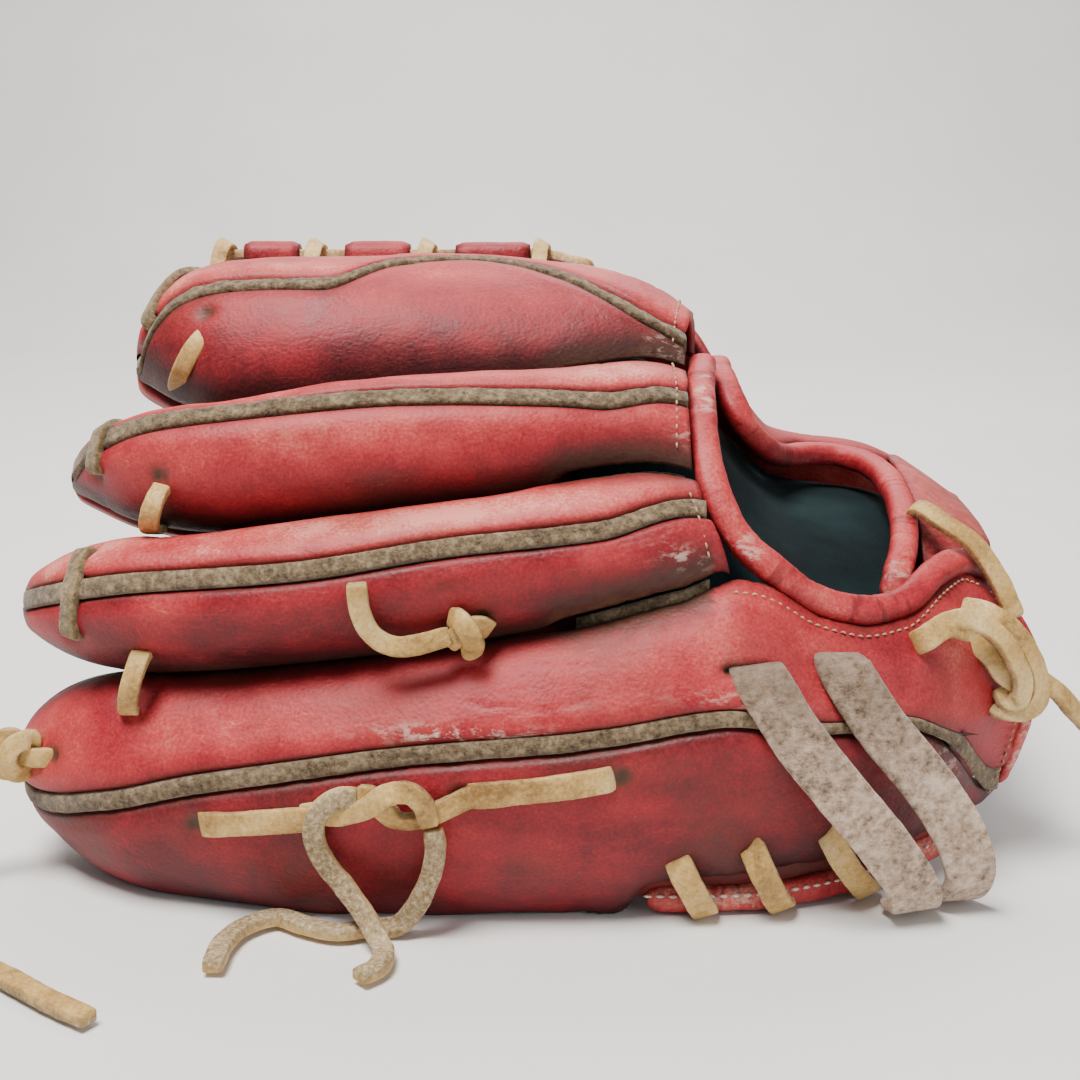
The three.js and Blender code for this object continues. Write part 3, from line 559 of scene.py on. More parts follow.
def worn_leather(name, stops, rough=(0.42, 0.66), grain_depth=0.00012):
    """Dyed leather, lighter where it stands proud from rubbed wear and painted light, darkened in its folds with
    dirt and painted shade, with a fine pebble grain.
    """
    g = Graph(name)
    mottle = g.noise(48, 5, 0.62)
    streaks = g.noise(38, 4, 0.6, stretch=(0.28, 1, 1), distortion=0.6)
    grain = g.noise(1250, 2, 0.5)
    pebble = g.cells(900)
    tone = g.attribute("tone")
    for source, share in ((mottle, 0.85), (streaks, 0.60), (grain, 0.45)):
        tone = g.math("ADD", tone, g.off_middle(source, share))
    veins = g.noise(85, 3, 0.5, stretch=(0.35, 1, 1.3), distortion=1.4)
    line = g.math("MULTIPLY", g.contour(veins, 0.010), g.range(g.noise(22, 2), 0.5, 0.66))
    tone = g.math("ADD", tone, g.math("MULTIPLY", line, 0.16), clamp=True)
    colour = g.ramp(tone, stops)
    patchy = g.range(g.noise(260, 4, 0.65), 0.28, 0.62, 0.45, 1.15)
    # This brown darkening is dirt and painted shade, from the attribute that darkens seams, valleys, eyelets and
    # wrinkles.
    dirt = g.math("MULTIPLY", g.attribute("grime"), patchy, clamp=True)
    colour = g.blend(dirt, colour, (0.075, 0.030, 0.016))
    stain = g.math("MULTIPLY", g.range(g.noise(26, 5, 0.6, distortion=0.8), 0.60, 0.78), 0.45)
    colour = g.blend(stain, colour, (0.16, 0.026, 0.016))
    flaking = g.range(g.noise(420, 5, 0.72, stretch=(0.5, 1, 1)), 0.50, 0.60)
    rubbed = g.math("MULTIPLY", g.attribute("scuff"), flaking, clamp=True)
    colour = g.blend(rubbed, colour, (0.62, 0.46, 0.37))
    roughness = g.range(g.total((mottle, 0.6), (grain, 0.4)), 0.3, 0.7, *rough)
    normal = g.bump(g.total((pebble, 0.7), (grain, 0.6)), grain_depth, 0.9)
    creases = g.noise(150, 4, 0.6, stretch=(0.5, 1, 1), distortion=0.9)
    normal = g.bump(g.contour(creases, 0.06, 0.0, 1.0), 0.00010, 0.35, normal)
    return g.surface(colour, roughness, normal, Specular_IOR_Level=0.36)


CRIMSON = [(0.0, (0.040, 0.002, 0.004)), (0.25, (0.130, 0.004, 0.008)), (0.50, (0.290, 0.011, 0.018)),
           (0.72, (0.430, 0.036, 0.038)), (0.90, (0.560, 0.105, 0.085)), (1.0, (0.680, 0.220, 0.175))]
DEEP_RED = [(0.0, (0.045, 0.003, 0.005)), (0.35, (0.150, 0.006, 0.010)), (0.65, (0.300, 0.020, 0.024)),
            (1.0, (0.480, 0.090, 0.070))]


def suede(name, dark, body, pale, fuzz=0.00035, scale=1.0, dirty_above=None):
    """Rough split leather; above that height in metres it darkens with dirt."""
    g = Graph(name)
    blotch = g.noise(90 * scale, 5, 0.65)
    fibre = g.noise(1500 * scale, 4, 0.75, stretch=(0.6, 1, 1))
    speck = g.noise(520 * scale, 3, 0.7)
    tone = g.total((blotch, 0.35), (speck, 0.65))
    colour = g.ramp(g.range(tone, 0.37, 0.63), [(0.0, dark), (0.5, body), (1.0, pale)])
    colour = g.blend(g.math("MULTIPLY", g.range(fibre, 0.42, 0.60), 0.35), colour, pale)
    if dirty_above:
        height = g.add("ShaderNodeSeparateXYZ", {0: g.place()}, output=2)
        rising = g.range(height, dirty_above, dirty_above + 0.036)
        dirt = g.math("MULTIPLY", rising, g.range(blotch, 0.36, 0.55, 0.65, 1.0))
        colour = g.blend(g.math("MULTIPLY", dirt, 0.85), colour, dark)
    height = g.math("ADD", fibre, g.math("MULTIPLY", speck, 0.8))
    return g.surface(colour, 0.95, g.bump(height, fuzz, 1.0), Sheen_Weight=0.25, Sheen_Roughness=0.5,
                     Specular_IOR_Level=0.2)


def rawhide(name):
    """Lace: a smooth waxy tan face and a fuzzy greyish flesh side."""
    g = Graph(name)
    side = g.attribute("rough_side")
    long_ = g.noise(60, 4, 0.6, distortion=0.5)
    fine = g.noise(900, 4, 0.72)
    cracks = g.noise(420, 3, 0.6, distortion=1.2)
    smooth_face = g.ramp(g.total((long_, 0.7), (fine, 0.3)), [
        (0.35, (0.240, 0.120, 0.032)), (0.50, (0.560, 0.345, 0.105)), (0.64, (0.790, 0.580, 0.270))])
    flesh = g.ramp(g.total((fine, 0.7), (long_, 0.3)), [
        (0.36, (0.130, 0.085, 0.040)), (0.50, (0.340, 0.245, 0.135)), (0.64, (0.600, 0.480, 0.310))])
    breakup = g.math("ADD", side, g.off_middle(fine, 0.9), clamp=True)
    colour = g.blend(breakup, smooth_face, flesh)
    line = g.contour(cracks, 0.012)
    colour = g.blend(g.math("MULTIPLY", line, 0.35), colour, (0.090, 0.050, 0.020))
    roughness = g.range(breakup, 0.0, 1.0, 0.5, 0.95)
    normal = g.bump(g.math("ADD", fine, g.math("MULTIPLY", line, -0.4)), 0.00022, 0.8)
    return g.surface(colour, roughness, normal, Specular_IOR_Level=0.35)


def knitted(name):
    """Dark green lining with a close brushed weave, its colour darkened further as painted shade of the closed hand
    space.
    """
    g = Graph(name)
    weave, cross = (g.add("ShaderNodeTexWave",
                          {"Vector": g.place(), "Scale": 520.0, "Distortion": 1.2, "Detail": 2.0},
                          bands_direction=direction) for direction in "XY")
    patch = g.noise(30, 4, 0.6)
    # Near-black stops: dark green cloth darkened further as painted shade of the closed hand space.
    colour = g.ramp(patch, [(0.3, (0.002, 0.005, 0.006)), (0.55, (0.006, 0.015, 0.017)),
                            (0.8, (0.014, 0.030, 0.031))])
    height = g.math("ADD", weave, cross)
    return g.surface(colour, 0.95, g.bump(height, 0.00012, 0.5), Sheen_Weight=0.03, Specular_IOR_Level=0.1)


def thread(name, dark, pale):
    g = Graph(name)
    fine = g.noise(2200, 2, 0.6)
    colour = g.ramp(fine, [(0.3, dark), (0.7, pale)])
    return g.surface(colour, 0.8, g.bump(fine, 0.0001, 0.5))


def felt(name):
    g = Graph(name)
    fibre = g.noise(700, 5, 0.75)
    mottle = g.total((fibre, 0.6), (g.noise(60, 3), 0.4))
    colour = g.ramp(mottle, [(0.3, (0.30, 0.26, 0.20)), (0.7, (0.60, 0.55, 0.45))])
    return g.surface(colour, 0.95, g.bump(fibre, 0.0004, 1.0), Sheen_Weight=0.3)


def plain(name, low, high, roughness=0.9):
    g = Graph(name)
    colour = g.ramp(g.noise(6, 3), [(0.3, low), (0.7, high)])
    return g.surface(colour, roughness, g.bump(g.noise(240, 3), 0.0002, 0.2))


back = worn_leather("worn_back_leather", CRIMSON)
palm = worn_leather("oiled_palm_leather", DEEP_RED, rough=(0.42, 0.6), grain_depth=0.00006)
bound = worn_leather("binding_leather", CRIMSON, rough=(0.42, 0.6), grain_depth=0.00007)
welt_suede = suede("dirty_welt_suede", (0.030, 0.018, 0.009), (0.120, 0.078, 0.040), (0.290, 0.215, 0.130), 0.0003)
strap_suede = suede("greyish_strap_suede", (0.100, 0.062, 0.034), (0.400, 0.275, 0.190), (0.660, 0.510, 0.400),
                    0.00045, 0.75, 0.036)
lace = rawhide("tan_rawhide")
lining_cloth = knitted("dark_green_lining")
white_thread = thread("waxed_thread", (0.52, 0.40, 0.33), (0.84, 0.76, 0.68))
tan_thread = thread("tan_thread", (0.30, 0.17, 0.09), (0.62, 0.42, 0.25))
brown_lace = suede("worn_brown_lace", (0.045, 0.028, 0.010), (0.165, 0.110, 0.048), (0.340, 0.250, 0.130), 0.0003)
wool_felt = felt("wool_felt")

# ---------------------------------------------------------------- free laces
TAILS = {
    "pinky_tip_tail": [[-146.2, 27.5, 31.5], [-149.5, 24, 25.5], [-152, 15, 17], [-151.5, 4, 10],
                       [-147, -7, 5],
                       [-139, -16, 2.9], [-131, -23.5, 2.8], [-124, -28.8, 2.8], [-110, -39.7, 2.8],
                       [-98, -47.9, 2.8]],
    "panel_lace_left_tail": [[-43.4, -8.6, 37.6], [-48, -8.5, 37.2], [-53, -8.2, 33.2], [-54.2, -7.8, 27.2],
                             [-52, -7.2, 20.4], [-47.2, -7.8, 14], [-42, -10.5, 7.6], [-38.4, -15, 3.6],
                             [-36.8, -19.5, 2.8], [-37.6, -26, 2.8], [-41.5, -30.2, 2.8]],
    "panel_lace_right_tail": [[-25.4, -9.4, 29.6], [-25, -9.2, 24.8], [-26, -8.6, 18.6], [-28.4, -7.8, 12],
                              [-31.4, -6.8, 6.6], [-35, -6.3, 3], [-42, -7, 2.8], [-49, -9, 2.8],
                              [-57, -6, 2.8],
                              [-65, -1.5, 2.8], [-72, -6, 2.8], [-75.5, -14, 2.8], [-76, -26, 2.8]],
    "ring_gap_tail": [[-21.6, 3.3, 74], [-25, 3.2, 73], [-29.4, 3.1, 71.8], [-34, 2.9, 71.4],
                      [-37.8, 2.6, 72.6],
                      [-40.9, 2, 75.8], [-42.7, 1.6, 80.4], [-43.4, 1.4, 87.5]],
    "wrist_tail": [[129, 32, 54.4], [135.7, 33.5, 50], [142, 36, 43.5], [148, 40, 37.6], [152.4, 43, 34.6]],
}
TAIL_UP = {
    "pinky_tip_tail": [[-0.3, -1, 0.2]] * 5 + [[0, -0.5, 1]] + [[0, 0, 1]] * 4,
    "panel_lace_left_tail": [[0, -1, 0]] * 7 + [[0, -1, 0.6]] + [[0, 0, 1]] * 3,
    "panel_lace_right_tail": [[0, -1, 0]] * 5 + [[-0.2, -0.6, 1]] + [[0, 0, 1]] * 7,
    "ring_gap_tail": [[0, -1, 0.3]] * 8,
    "wrist_tail": [[0.3, -0.8, 0.6]] * 5,
}
TAIL_WIDTH = 5.0
for name, line in TAILS.items():
    suede_side = name.startswith("panel")
    ups = np.array(TAIL_UP[name], float) * (-1 if suede_side else 1)
    made, centre = strips(name + "_lace", [(line, ups)], lace, TAIL_WIDTH, 3.1, ends=(0.9, 0.9))
    show(made, name)

# ---------------------------------------------------------------- back panels
TIP_ROWS, ROW_STEP, FINE_COLUMNS = 30, 1.25, 221


def panel_rows(stall):
    """The rows of a panel: x on the rounded tip, then shares of the way to its end."""
    u = np.arange(TIP_ROWS + 1) / TIP_ROWS
    tip_x = stall.tip + stall.rounding * (1 - np.cos(u * np.pi / 2))
    count = int(int((130 if stall.closes else 45) - stall.tip - stall.rounding) // ROW_STEP)
    return tip_x, np.arange(1, count + 1) / count


SLITS = [([[45.2, 0.6, 66.4], [58.4, 1.4, 66.2]], 1.0), ([[67.4, 6.4, 66.6], [79.6, 10.6, 66.4]], 1.0)]
EYELET = 2.3
EYELETS = {
    "pinky": [[-125.7, 0.2], [-85.4, -4.8], [-52.4, -2.4], [-18.6, 0.3], [19.4, 2.4], [-103.5, 8.6]],
    "ring": [[-115.2, 27.8], [-118.4, 16.4], [-99.6, 14.2], [-96.5, 31.2], [-14, 20.6]],
    "middle": [[-111.6, 49.8], [-115.8, 39.6], [-96.7, 37.4], [-94, 49.2]],
    "index": [[-101.6, 86.8], [-110.4, 70.2], [-91.2, 65.2]],
}


def carve(points, normals, grime, holes, slits):
    """Sinks the leather and darkens it with painted shade where laces and straps go through."""
    for centre in holes:
        d = np.linalg.norm(points - centre, axis=-1)
        points = points - normals * (1.7 * bell(d, EYELET))[..., None]
        grime = grime + 1.5 * bell(d, EYELET)
    for (start, finish), radius in slits:
        start, finish = np.asarray(start, float), np.asarray(finish, float)
        along = finish - start
        t = np.clip(((points - start) @ along) / (along @ along), 0, 1)
        d = np.linalg.norm(points - start - t[..., None] * along, axis=-1)
        points = points - normals * (3.2 * bell(d, radius * 1.6))[..., None]
        grime = grime + 1.3 * bell(d, radius * 1.5)
    return points, grime


def back_panel(stall, side, columns, scuffs=(), slits=()):
    half_name = "lower" if (side < 0) != (stall is thumb) else "upper"
    name = f"{stall.name}_back_{half_name}"
    tip_x, later = panel_rows(stall)
    fine = np.linspace(0, 1, FINE_COLUMNS)
    last = end_edge(stall)(side, fine)
    start = stall.tip + stall.rounding
    x = np.concatenate([np.broadcast_to(tip_x[:, None], (len(tip_x), FINE_COLUMNS)),
                        mix(start, last[None], later[:, None])])
    _, _, half = stall.section(x)
    gap = (stall.low_gap if side < 0 else stall.high_gap)(x)
    edge = span(x, gap) / half
    seam_phi = stall.seam(x)
    room = np.abs(seam_phi - side)
    inner = seam_phi + side * np.minimum(span(x, WELT_WIDTH / 2 - 0.3) / half, room * 0.4)
    outer = side * (1 - np.minimum(edge, room * 0.4))
    phi = mix(outer, inner, 1 - (1 - fine) ** 1.5)
    steps = np.linalg.norm(np.diff(stall.skin(x, phi), axis=1), axis=2)
    arc = np.concatenate([np.zeros((len(x), 1)), np.cumsum(steps, axis=1)], axis=1)
    share = 1 - (1 - np.linspace(0, 1, columns)) ** 1.45
    pick = np.stack([np.interp(share * a[-1], a, fine) for a in arc])
    x = np.stack([np.interp(p, fine, row) for p, row in zip(pick, x)])
    phi = np.stack([np.interp(p, fine, row) for p, row in zip(pick, phi)])
    from_edge = share[None] * arc[:, -1:]
    to_seam = arc[:, -1:] - from_edge
    grid = stall.skin(x, phi)
    normal = grid_normals(grid)
    centre = len(grid) // 2, columns // 2
    if normal[centre] @ outward(x[centre], stall.section(x[centre])[1], 20.0) < 0:
        normal = -normal
    swell = 0.55 * bell(to_seam - 5.5, 3.5) - 2.6 * bell(to_seam, 1.15)
    broad = 0.45 * fractal(grid, 26, 3, 3)
    stretched = grid * np.array([0.30, 1, 1])
    ridge = 1 - np.abs(fractal(stretched, 9, 3, 17))
    folds = -0.24 * smooth(ridge, 0.86, 1.0) * smooth(value_noise(grid, 30, 5), -0.1, 0.7)
    cross_fold = 1 - np.abs(fractal(grid * np.array([1, 0.35, 0.35]), 8, 3, 29))
    near_rim = smooth(x, -10, 40)
    folds = folds - 0.28 * smooth(cross_fold, 0.86, 1.0) * near_rim
    tip_share = 1 - smooth(x - stall.tip, 4, 40)
    from_tip = smooth(x - stall.tip, 0, 6)
    calm = smooth(to_seam, 0.5, 3) * from_tip
    grid = grid + normal * (swell * from_tip + (broad + folds) * calm)[..., None]
    crest = np.maximum(1 - phi * phi, 0) ** 0.45
    # Tone: rubbed lighter on the crest, lighter towards the tip, and painted light on upward-facing leather;
    # painted shade then darkens it beside the welt and deep in the valleys between fingers.
    tone = TONES[stall.name][side > 0] - 0.12 + 0.46 * (crest - 0.75) + 0.26 * normal[..., 2] + 0.12 * tip_share
    outermost = (stall is pinky and side < 0) or (stall is index and side > 0)
    valley_shade = bell(from_edge, 7.0) * (x < KNUCKLE_X) * (0 if outermost else 1)
    tone = tone - 0.25 * bell(to_seam, 3.0) - 0.45 * valley_shade
    # Dirt and painted shade in the seam groove, painted shade along the panel's outer edge and in the valleys, and
    # random real grime.
    grime = (0.55 * bell(to_seam, 1.7) + 0.25 * bell(from_edge, 3.0)
             + 0.7 * valley_shade * smooth(x - stall.tip, 12, 40))
    grime = grime + 0.22 * smooth(fractal(grid, 20, 4, 41), 0.25, 0.9)
    scuff = np.zeros_like(tone)
    _, middle_a, half_a = stall.section(x)
    a = middle_a + phi * half_a
    for at_x, at_a, reach_x, reach_a, strength in scuffs:
        scuff = scuff + strength * bell(x - at_x, reach_x) * bell(a - at_a, reach_a)
    holes = [stall.skin_at(*at) for at in EYELETS.get(stall.name, ())]
    grid, grime = carve(grid, normal, grime, holes, slits)
    grid[..., 2] = np.maximum(grid[..., 2], 0.0)
    inside = grid - normal * (LEATHER * np.maximum(from_tip, 0.02))[..., None]
    inside[..., 2] = np.maximum(inside[..., 2], 0.4)
    return show(thick_sheet(name + "_leather", grid, inside, back, wear(tone, grime, scuff)), name)


# The base tones of each stall's low and high panel, and its scuffs: x, a, reach in x, reach in a, strength. The low
# panels' darker tones are partly dye and partly painted shade on the lower halves.
TONES = {"pinky": (0.42, 0.62), "ring": (0.52, 0.66), "middle": (0.60, 0.62), "index": (0.36, 0.58),
         "thumb": (0.56, 0.50)}
for stall, scuffs in ((ring, [(34, 29, 6, 1.2, 0.7)]), (middle, [(38, 47, 4, 1.2, 0.5)]),
                      (index, [(34, 66, 5, 1.4, 0.5)])):
    for side in (-1, 1):
        back_panel(stall, side, 34, scuffs)
back_panel(pinky, -1, 40, [(104, -3, 12, 3, 0.4)])
back_panel(pinky, 1, 44, [(-18, 7.0, 20, 1.0, 1.0), (50, 11.5, 14, 1.0, 0.6)], SLITS)
for side in (-1, 1):
    back_panel(thumb, side, 40)


# ---------------------------------------------------------------- welts
def welt_strip(stall):
    x = np.linspace(stall.tip + 3.2, end_edge(stall)(1, 1) - (2 if stall.closes else 0), 190)
    columns = np.linspace(-1, 1, 9)
    _, middle_a, half_a = stall.section(x)
    phi = stall.seam(x)
    a = (middle_a + phi * half_a)[:, None] + columns[None] * span(x, WELT_WIDTH / 2)[:, None]
    height = GAP + stall.height(x, phi)
    top = place(x[:, None], a, height[:, None] + 0.45 - 0.5 * np.abs(columns[None]) ** 4)
    ragged = 0.28 * value_noise(top, 1.3, 61) + 0.30 * value_noise(top, 4.0, 62)
    up = outward(x[:, None] + 0 * a, a, 5.0)
    top = top + up * ragged[..., None]
    bottom = top - up * 3.4
    made = thick_sheet(f"{stall.name}_welt_suede", top, bottom, welt_suede)
    return show(made, f"{stall.name}_welt")


for stall in (ring, middle, index, pinky, thumb):
    welt_strip(stall)


def crotch_welt(stall, start, end, node):
    x = np.linspace(start, end, 60)
    columns = np.linspace(-1, 1, 7)
    a = stall.high(x)[:, None] + columns[None] * span(x, 1.7)[:, None]
    rise = smooth(x, start, start + 8)
    height = (GAP + valley_height(x) + 0.5 + 2.2 * rise)[:, None]
    top = place(x[:, None], a, height - 0.5 * np.abs(columns[None]) ** 4)
    up = outward(x[:, None] + 0 * a, a, 5.0)
    top = top + up * (0.3 * value_noise(top, 1.4, 71))[..., None]
    return show(thick_sheet(node + "_suede", top, top - up * 3.5, welt_suede), node)


crotch_welt(pinky, 9, 42, "pinky_ring_crotch_welt")
crotch_welt(ring, 9, 37, "ring_middle_crotch_welt")
crotch_welt(middle, 9, 37, "middle_index_crotch_welt")

# ---------------------------------------------------------------- palm leather
FORK_X, PALM_END = -76, 124  # the palm leather is one sheet between these, and slit before them
PALM_ROWS, FORK_ROWS, FINGER_COLUMNS = 96, 24, 17
palm_top_edge = curve([[-125, 92], [-100, 95], [0, 95.6], [34, 95], [130, 95]])
palm_curl = curve([[16, 0], [30, 10], [124, 9]])
thumb_palm_edge = curve([[-92, 157], [-20, 155], [0, 148], [12, 130], [24, 108], [32, 105], [130, 105]])


def palm_sheet(name, sheet, keep=None):
    """Palm leather from a function of height, outer layer first."""
    outer, inner = sheet(0.0), sheet(-PALM_LEATHER)
    tone = 0.45 + 0.25 * fractal(outer, 45, 3, 11)
    grime = 0.30 * smooth(fractal(outer, 24, 4, 13), 0.1, 0.9)
    crease = 0.6 * fractal(inner, 30, 3, 19)
    direction = unit(outer - inner)
    inner = inner + direction * crease[..., None]
    inner[..., 2] = np.maximum(inner[..., 2], 2.4)
    outer[..., 2] = np.maximum(outer[..., 2], 2.4)
    return thick_sheet(name, outer, inner, palm, wear(tone, grime), keep)


def finger_palm(h):
    i = np.arange(PALM_ROWS + 1)[:, None]
    tip_share = 1 - np.cos(np.clip(i / FORK_ROWS, 0, 1) * np.pi / 2)
    palm_x = mix(FORK_X, PALM_END, (i - FORK_ROWS) / (PALM_ROWS - FORK_ROWS))
    columns = []
    for stall in stalls:
        phi = np.linspace(-1, 1, FINGER_COLUMNS)[None]
        x = np.where(i <= FORK_ROWS, mix(stall.tip, FORK_X, tip_share), palm_x)
        low = stall.low(x)
        high = palm_top_edge(x) if stall is index else stall.high(x)
        roundness, _, _ = stall.section(x)
        half = (high - low) / 2 * roundness - span(x, 0.3)
        curl = np.zeros((1, FINGER_COLUMNS))
        curl[0, :3] = [1, 0.5, 0.15] if stall is pinky else 0
        columns.append(place(x + 0 * phi, (low + high) / 2 + phi * half, h + curl * palm_curl(x), 2.9 - min(h, 0)))
    return np.concatenate(columns, axis=1)


kept = np.ones((PALM_ROWS, 4 * FINGER_COLUMNS - 1), bool)
for k in (1, 2, 3):
    kept[:FORK_ROWS, k * FINGER_COLUMNS - 1] = False
show(palm_sheet("palm_finger_leather", finger_palm, kept), "palm_finger_side")


def thumb_palm(h):
    tip_x, later = panel_rows(thumb)
    x = np.concatenate([tip_x, mix(thumb.tip + thumb.rounding, PALM_END, later)])[:, None]
    low, high = thumb_palm_edge(x), thumb.high(x)
    roundness, _, _ = thumb.section(x)
    phi = np.linspace(-1, 1, 40)[None]
    return place(x + 0 * phi, (low + high) / 2 + phi * (high - low) / 2 * roundness, h, 2.9 - min(h, 0))


show(palm_sheet("palm_thumb_leather", thumb_palm), "palm_thumb_side")


def patch(x_range, low, high, rows, columns):
    x = np.linspace(*x_range, rows)[:, None]
    a = mix(low, high, np.linspace(0, 1, columns)[None])
    return x + 0 * a, a + 0 * x


def crease_sheet(h):
    x, a = patch((34, PALM_END), 95.6, 104.4, 90, 14)
    return place(x, a, h - 1.6 * np.sin(np.pi * (a - 95.6) / 8.8))


crease = palm_sheet("palm_crease_leather", crease_sheet)
bend(crease, "palm_crease", start=[60, 111, 80], end=[60, 118, 80])

# ---------------------------------------------------------------- padding and lining of the hand space
lining_height = curve([[8, 1.2], [44, 2], [70, 10.8], [120, 10.8]])


def lining(name, node, x_range, low, high):
    x, a = patch(x_range, low, high, 90, 70)
    grid = place(x, a, lining_height(x) + 1.2, 2.5)
    up = outward(x, a, lining_height(x))
    sag = 0.7 * fractal(grid * np.array([0.5, 1, 1]), 22, 3, 83)
    grid = grid + up * sag[..., None]
    grid[..., 2] = np.maximum(grid[..., 2], 3.2)
    made = thick_sheet(name, grid, grid - up * 1.1, lining_cloth)
    show(made, node)


lining("finger_lining_cloth", "finger_side_lining", (10, 118), -6, 94)
lining("thumb_lining_cloth", "thumb_side_lining", (34, 118), 106, 188)


def pad(name, node, low, high, clearance):
    x, a = patch((74, 120), low, high, 40, 44)
    u = np.linspace(-1, 1, 40)[:, None]
    v = np.linspace(-1, 1, 44)[None]
    full = (1 - u**6) ** 0.5 * (1 - v**6) ** 0.5
    top = place(x, a, clearance + 3.3 + 3.2 * full, 3.0)
    low_side = place(x, a, clearance + 3.3 - 3.2 * full, 2.9)
    quilt = 0.3 * fractal(top, 9, 3, 91)
    top = top + outward(x, a, 5.0) * quilt[..., None]
    made = thick_sheet(name, top, low_side, wool_felt)
    show(made, node)


pad("pinky_heel_felt", "pinky_heel_pad", -8, 55, 3.2)
pad("thumb_heel_felt", "thumb_heel_pad", 118, 190, 2.8)

# ---------------------------------------------------------------- rolled bindings
NEAR_RIM = [[46, 73], [43.5, 62], [42.5, 51], [44, 42], [49, 36.5], [59, 35], [70, 34.5], [83, 32.5],
            [94, 34],
            [104, 41], [115, 47], [124, 46.5]]
FAR_RIM = [[52, 84], [52.5, 76], [56, 70], [64, 73], [72, 81], [81, 86], [90, 87], [98, 82],
           [101, 68], [98, 50], [94.5, 42], [92, 36.5]]
near_rim_line = [place(x, a, 24.5 if x > 55 else 19.5) for x, a in NEAR_RIM]
far_rim_line = [place(x, a, 22.5 if a > 45 else 20.5 if a > 40 else 17.5) for x, a in FAR_RIM]
PINKY_EDGE = [[27, 7.5, 3.7], [40, 7, 3.8], [58, 8.6, 4], [78, 16, 4.4], [94, 25.5, 5], [108, 35.5, 6.5]]
THUMB_EDGE = [[27, 175, 5.2], [60, 169, 7], [90, 162, 9.2], [112, 156.5, 14.3]]


BINDING_STEP, BINDING_SIDES = 0.55, 22


def binding(name, line, ups, width, thickness, node=None, body="finger_side", tone=0.5, seed=0, floor=0.0):
    """A strip of leather rolled over an edge: small wrinkles run round it."""
    path, where = smooth_path(line, BINDING_STEP)
    up = ups_along(ups, where)
    rings, _ = sweep_rings(path, up, width, thickness, BINDING_SIDES, 0.72, 0.05, seed, ends=(0.6, 0.6))
    run = np.linspace(0, len(path) * BINDING_STEP, len(path))
    outside = unit(rings - path[:, None])
    squeezed = np.stack([run[:, None] + 0 * rings[..., 0], 0.18 * rings[..., 1], 0.18 * rings[..., 2]], axis=-1)
    wrinkle = 1 - np.abs(fractal(squeezed, 4.2, 3, seed + 7))
    wrinkle = -0.16 * smooth(wrinkle, 0.80, 1.0) * smooth(value_noise(path, 11, seed + 3), -0.1, 0.5)[:, None]
    rings = rings + outside * (wrinkle + 0.22 * fractal(rings, 9, 2, seed))[..., None]
    rings[..., 2] = np.maximum(rings[..., 2], floor)
    lift = (outside * up[:, None]).sum(-1)
    # Painted light on the roll's outward and upward faces; painted shade in its wrinkles. The next line adds more
    # painted shade on the underside and in the wrinkles.
    shade = tone + 0.16 * lift + 1.6 * wrinkle + 0.08 * outside[..., 2] + 0.12 * fractal(rings, 18, 3, seed + 9)
    grime = 0.35 * smooth(-lift, -0.2, 0.9) + 0.3 * smooth(-wrinkle, 0.05, 0.15)
    scuff = 0.6 * smooth(value_noise(rings, 16, seed + 31), 0.15, 0.6) * smooth(lift, 0.2, 0.9)
    made = new_object(name, rings.reshape(-1, 3), ring_faces(len(path), BINDING_SIDES), bound,
                      wear(shade, grime, scuff))
    if node:
        return show(made, node)
    return show(made, body=body, slot="binding_leather")


near_up = [outward(x, a, 20.0) for x, a in NEAR_RIM]
far_up = [outward(x, a, 20.0) for x, a in FAR_RIM]
binding("near_rim_rolled", near_rim_line, near_up, 7.6, 6.4, "hand_opening_binding_near", tone=0.50, seed=101)
binding("far_rim_rolled", far_rim_line, far_up, 7.4, 6.6, "hand_opening_binding_far", tone=0.55, seed=111)
for name, line, out_y, tone, seed in (("pinky", PINKY_EDGE, -1, 0.62, 121), ("thumb", THUMB_EDGE, 1, 0.5, 131)):
    binding(f"{name}_edge_rolled", line, [0, out_y, 0.25], 7.0, 6.6, f"{name}_edge_binding",
            tone=tone, seed=seed, floor=0.3)


def edge_flap(name, stall, side, line, columns=9):
    """Leather that closes the gap between a panel's bottom edge and the binding below it."""
    line = np.array(line)
    x = np.linspace(line[0, 0] - 5, line[-1, 0], 90)
    edge = stall.low(x) + 1.5 if side < 0 else stall.high(x) - 1.5
    above = stall.skin_at(x, edge, -3.0)
    below_y, below_z = (np.interp(x, line[:, 0], line[:, k]) for k in (1, 2))
    below = np.stack([x, below_y, below_z + 0.5], axis=1)
    grid = mix(above[:, None], below[:, None], np.linspace(0, 1, columns)[None, :, None])
    grid[..., 2] = np.maximum(grid[..., 2], 0.6)
    inward = np.array([0.0, -side * 1.4, 0.0])
    tone = 0.28 + 0.2 * fractal(grid, 18, 3, 171)
    made = thick_sheet(name, grid, grid + inward, back, wear(tone, 0.5))
    return show(made, body=BODY[f"{stall.name}_welt"], slot="binding_leather")


edge_flap("pinky_edge_flap_leather", pinky, -1, PINKY_EDGE)
edge_flap("thumb_edge_flap_leather", thumb, 1, THUMB_EDGE)


def stitch_row(name, stall, line, material, **size):
    """Thread stitches that follow (x, a) points on a stall's leather."""
    at = [stall.skin_at(x, a) + stall.normal_at(x, a) * 0.3 for x, a in line]
    made = stitches(name, at, [stall.normal_at(x, a) for x, a in line], material, **size)
    return show(made, body=BODY[f"{stall.name}_welt"], slot="binding_leather")


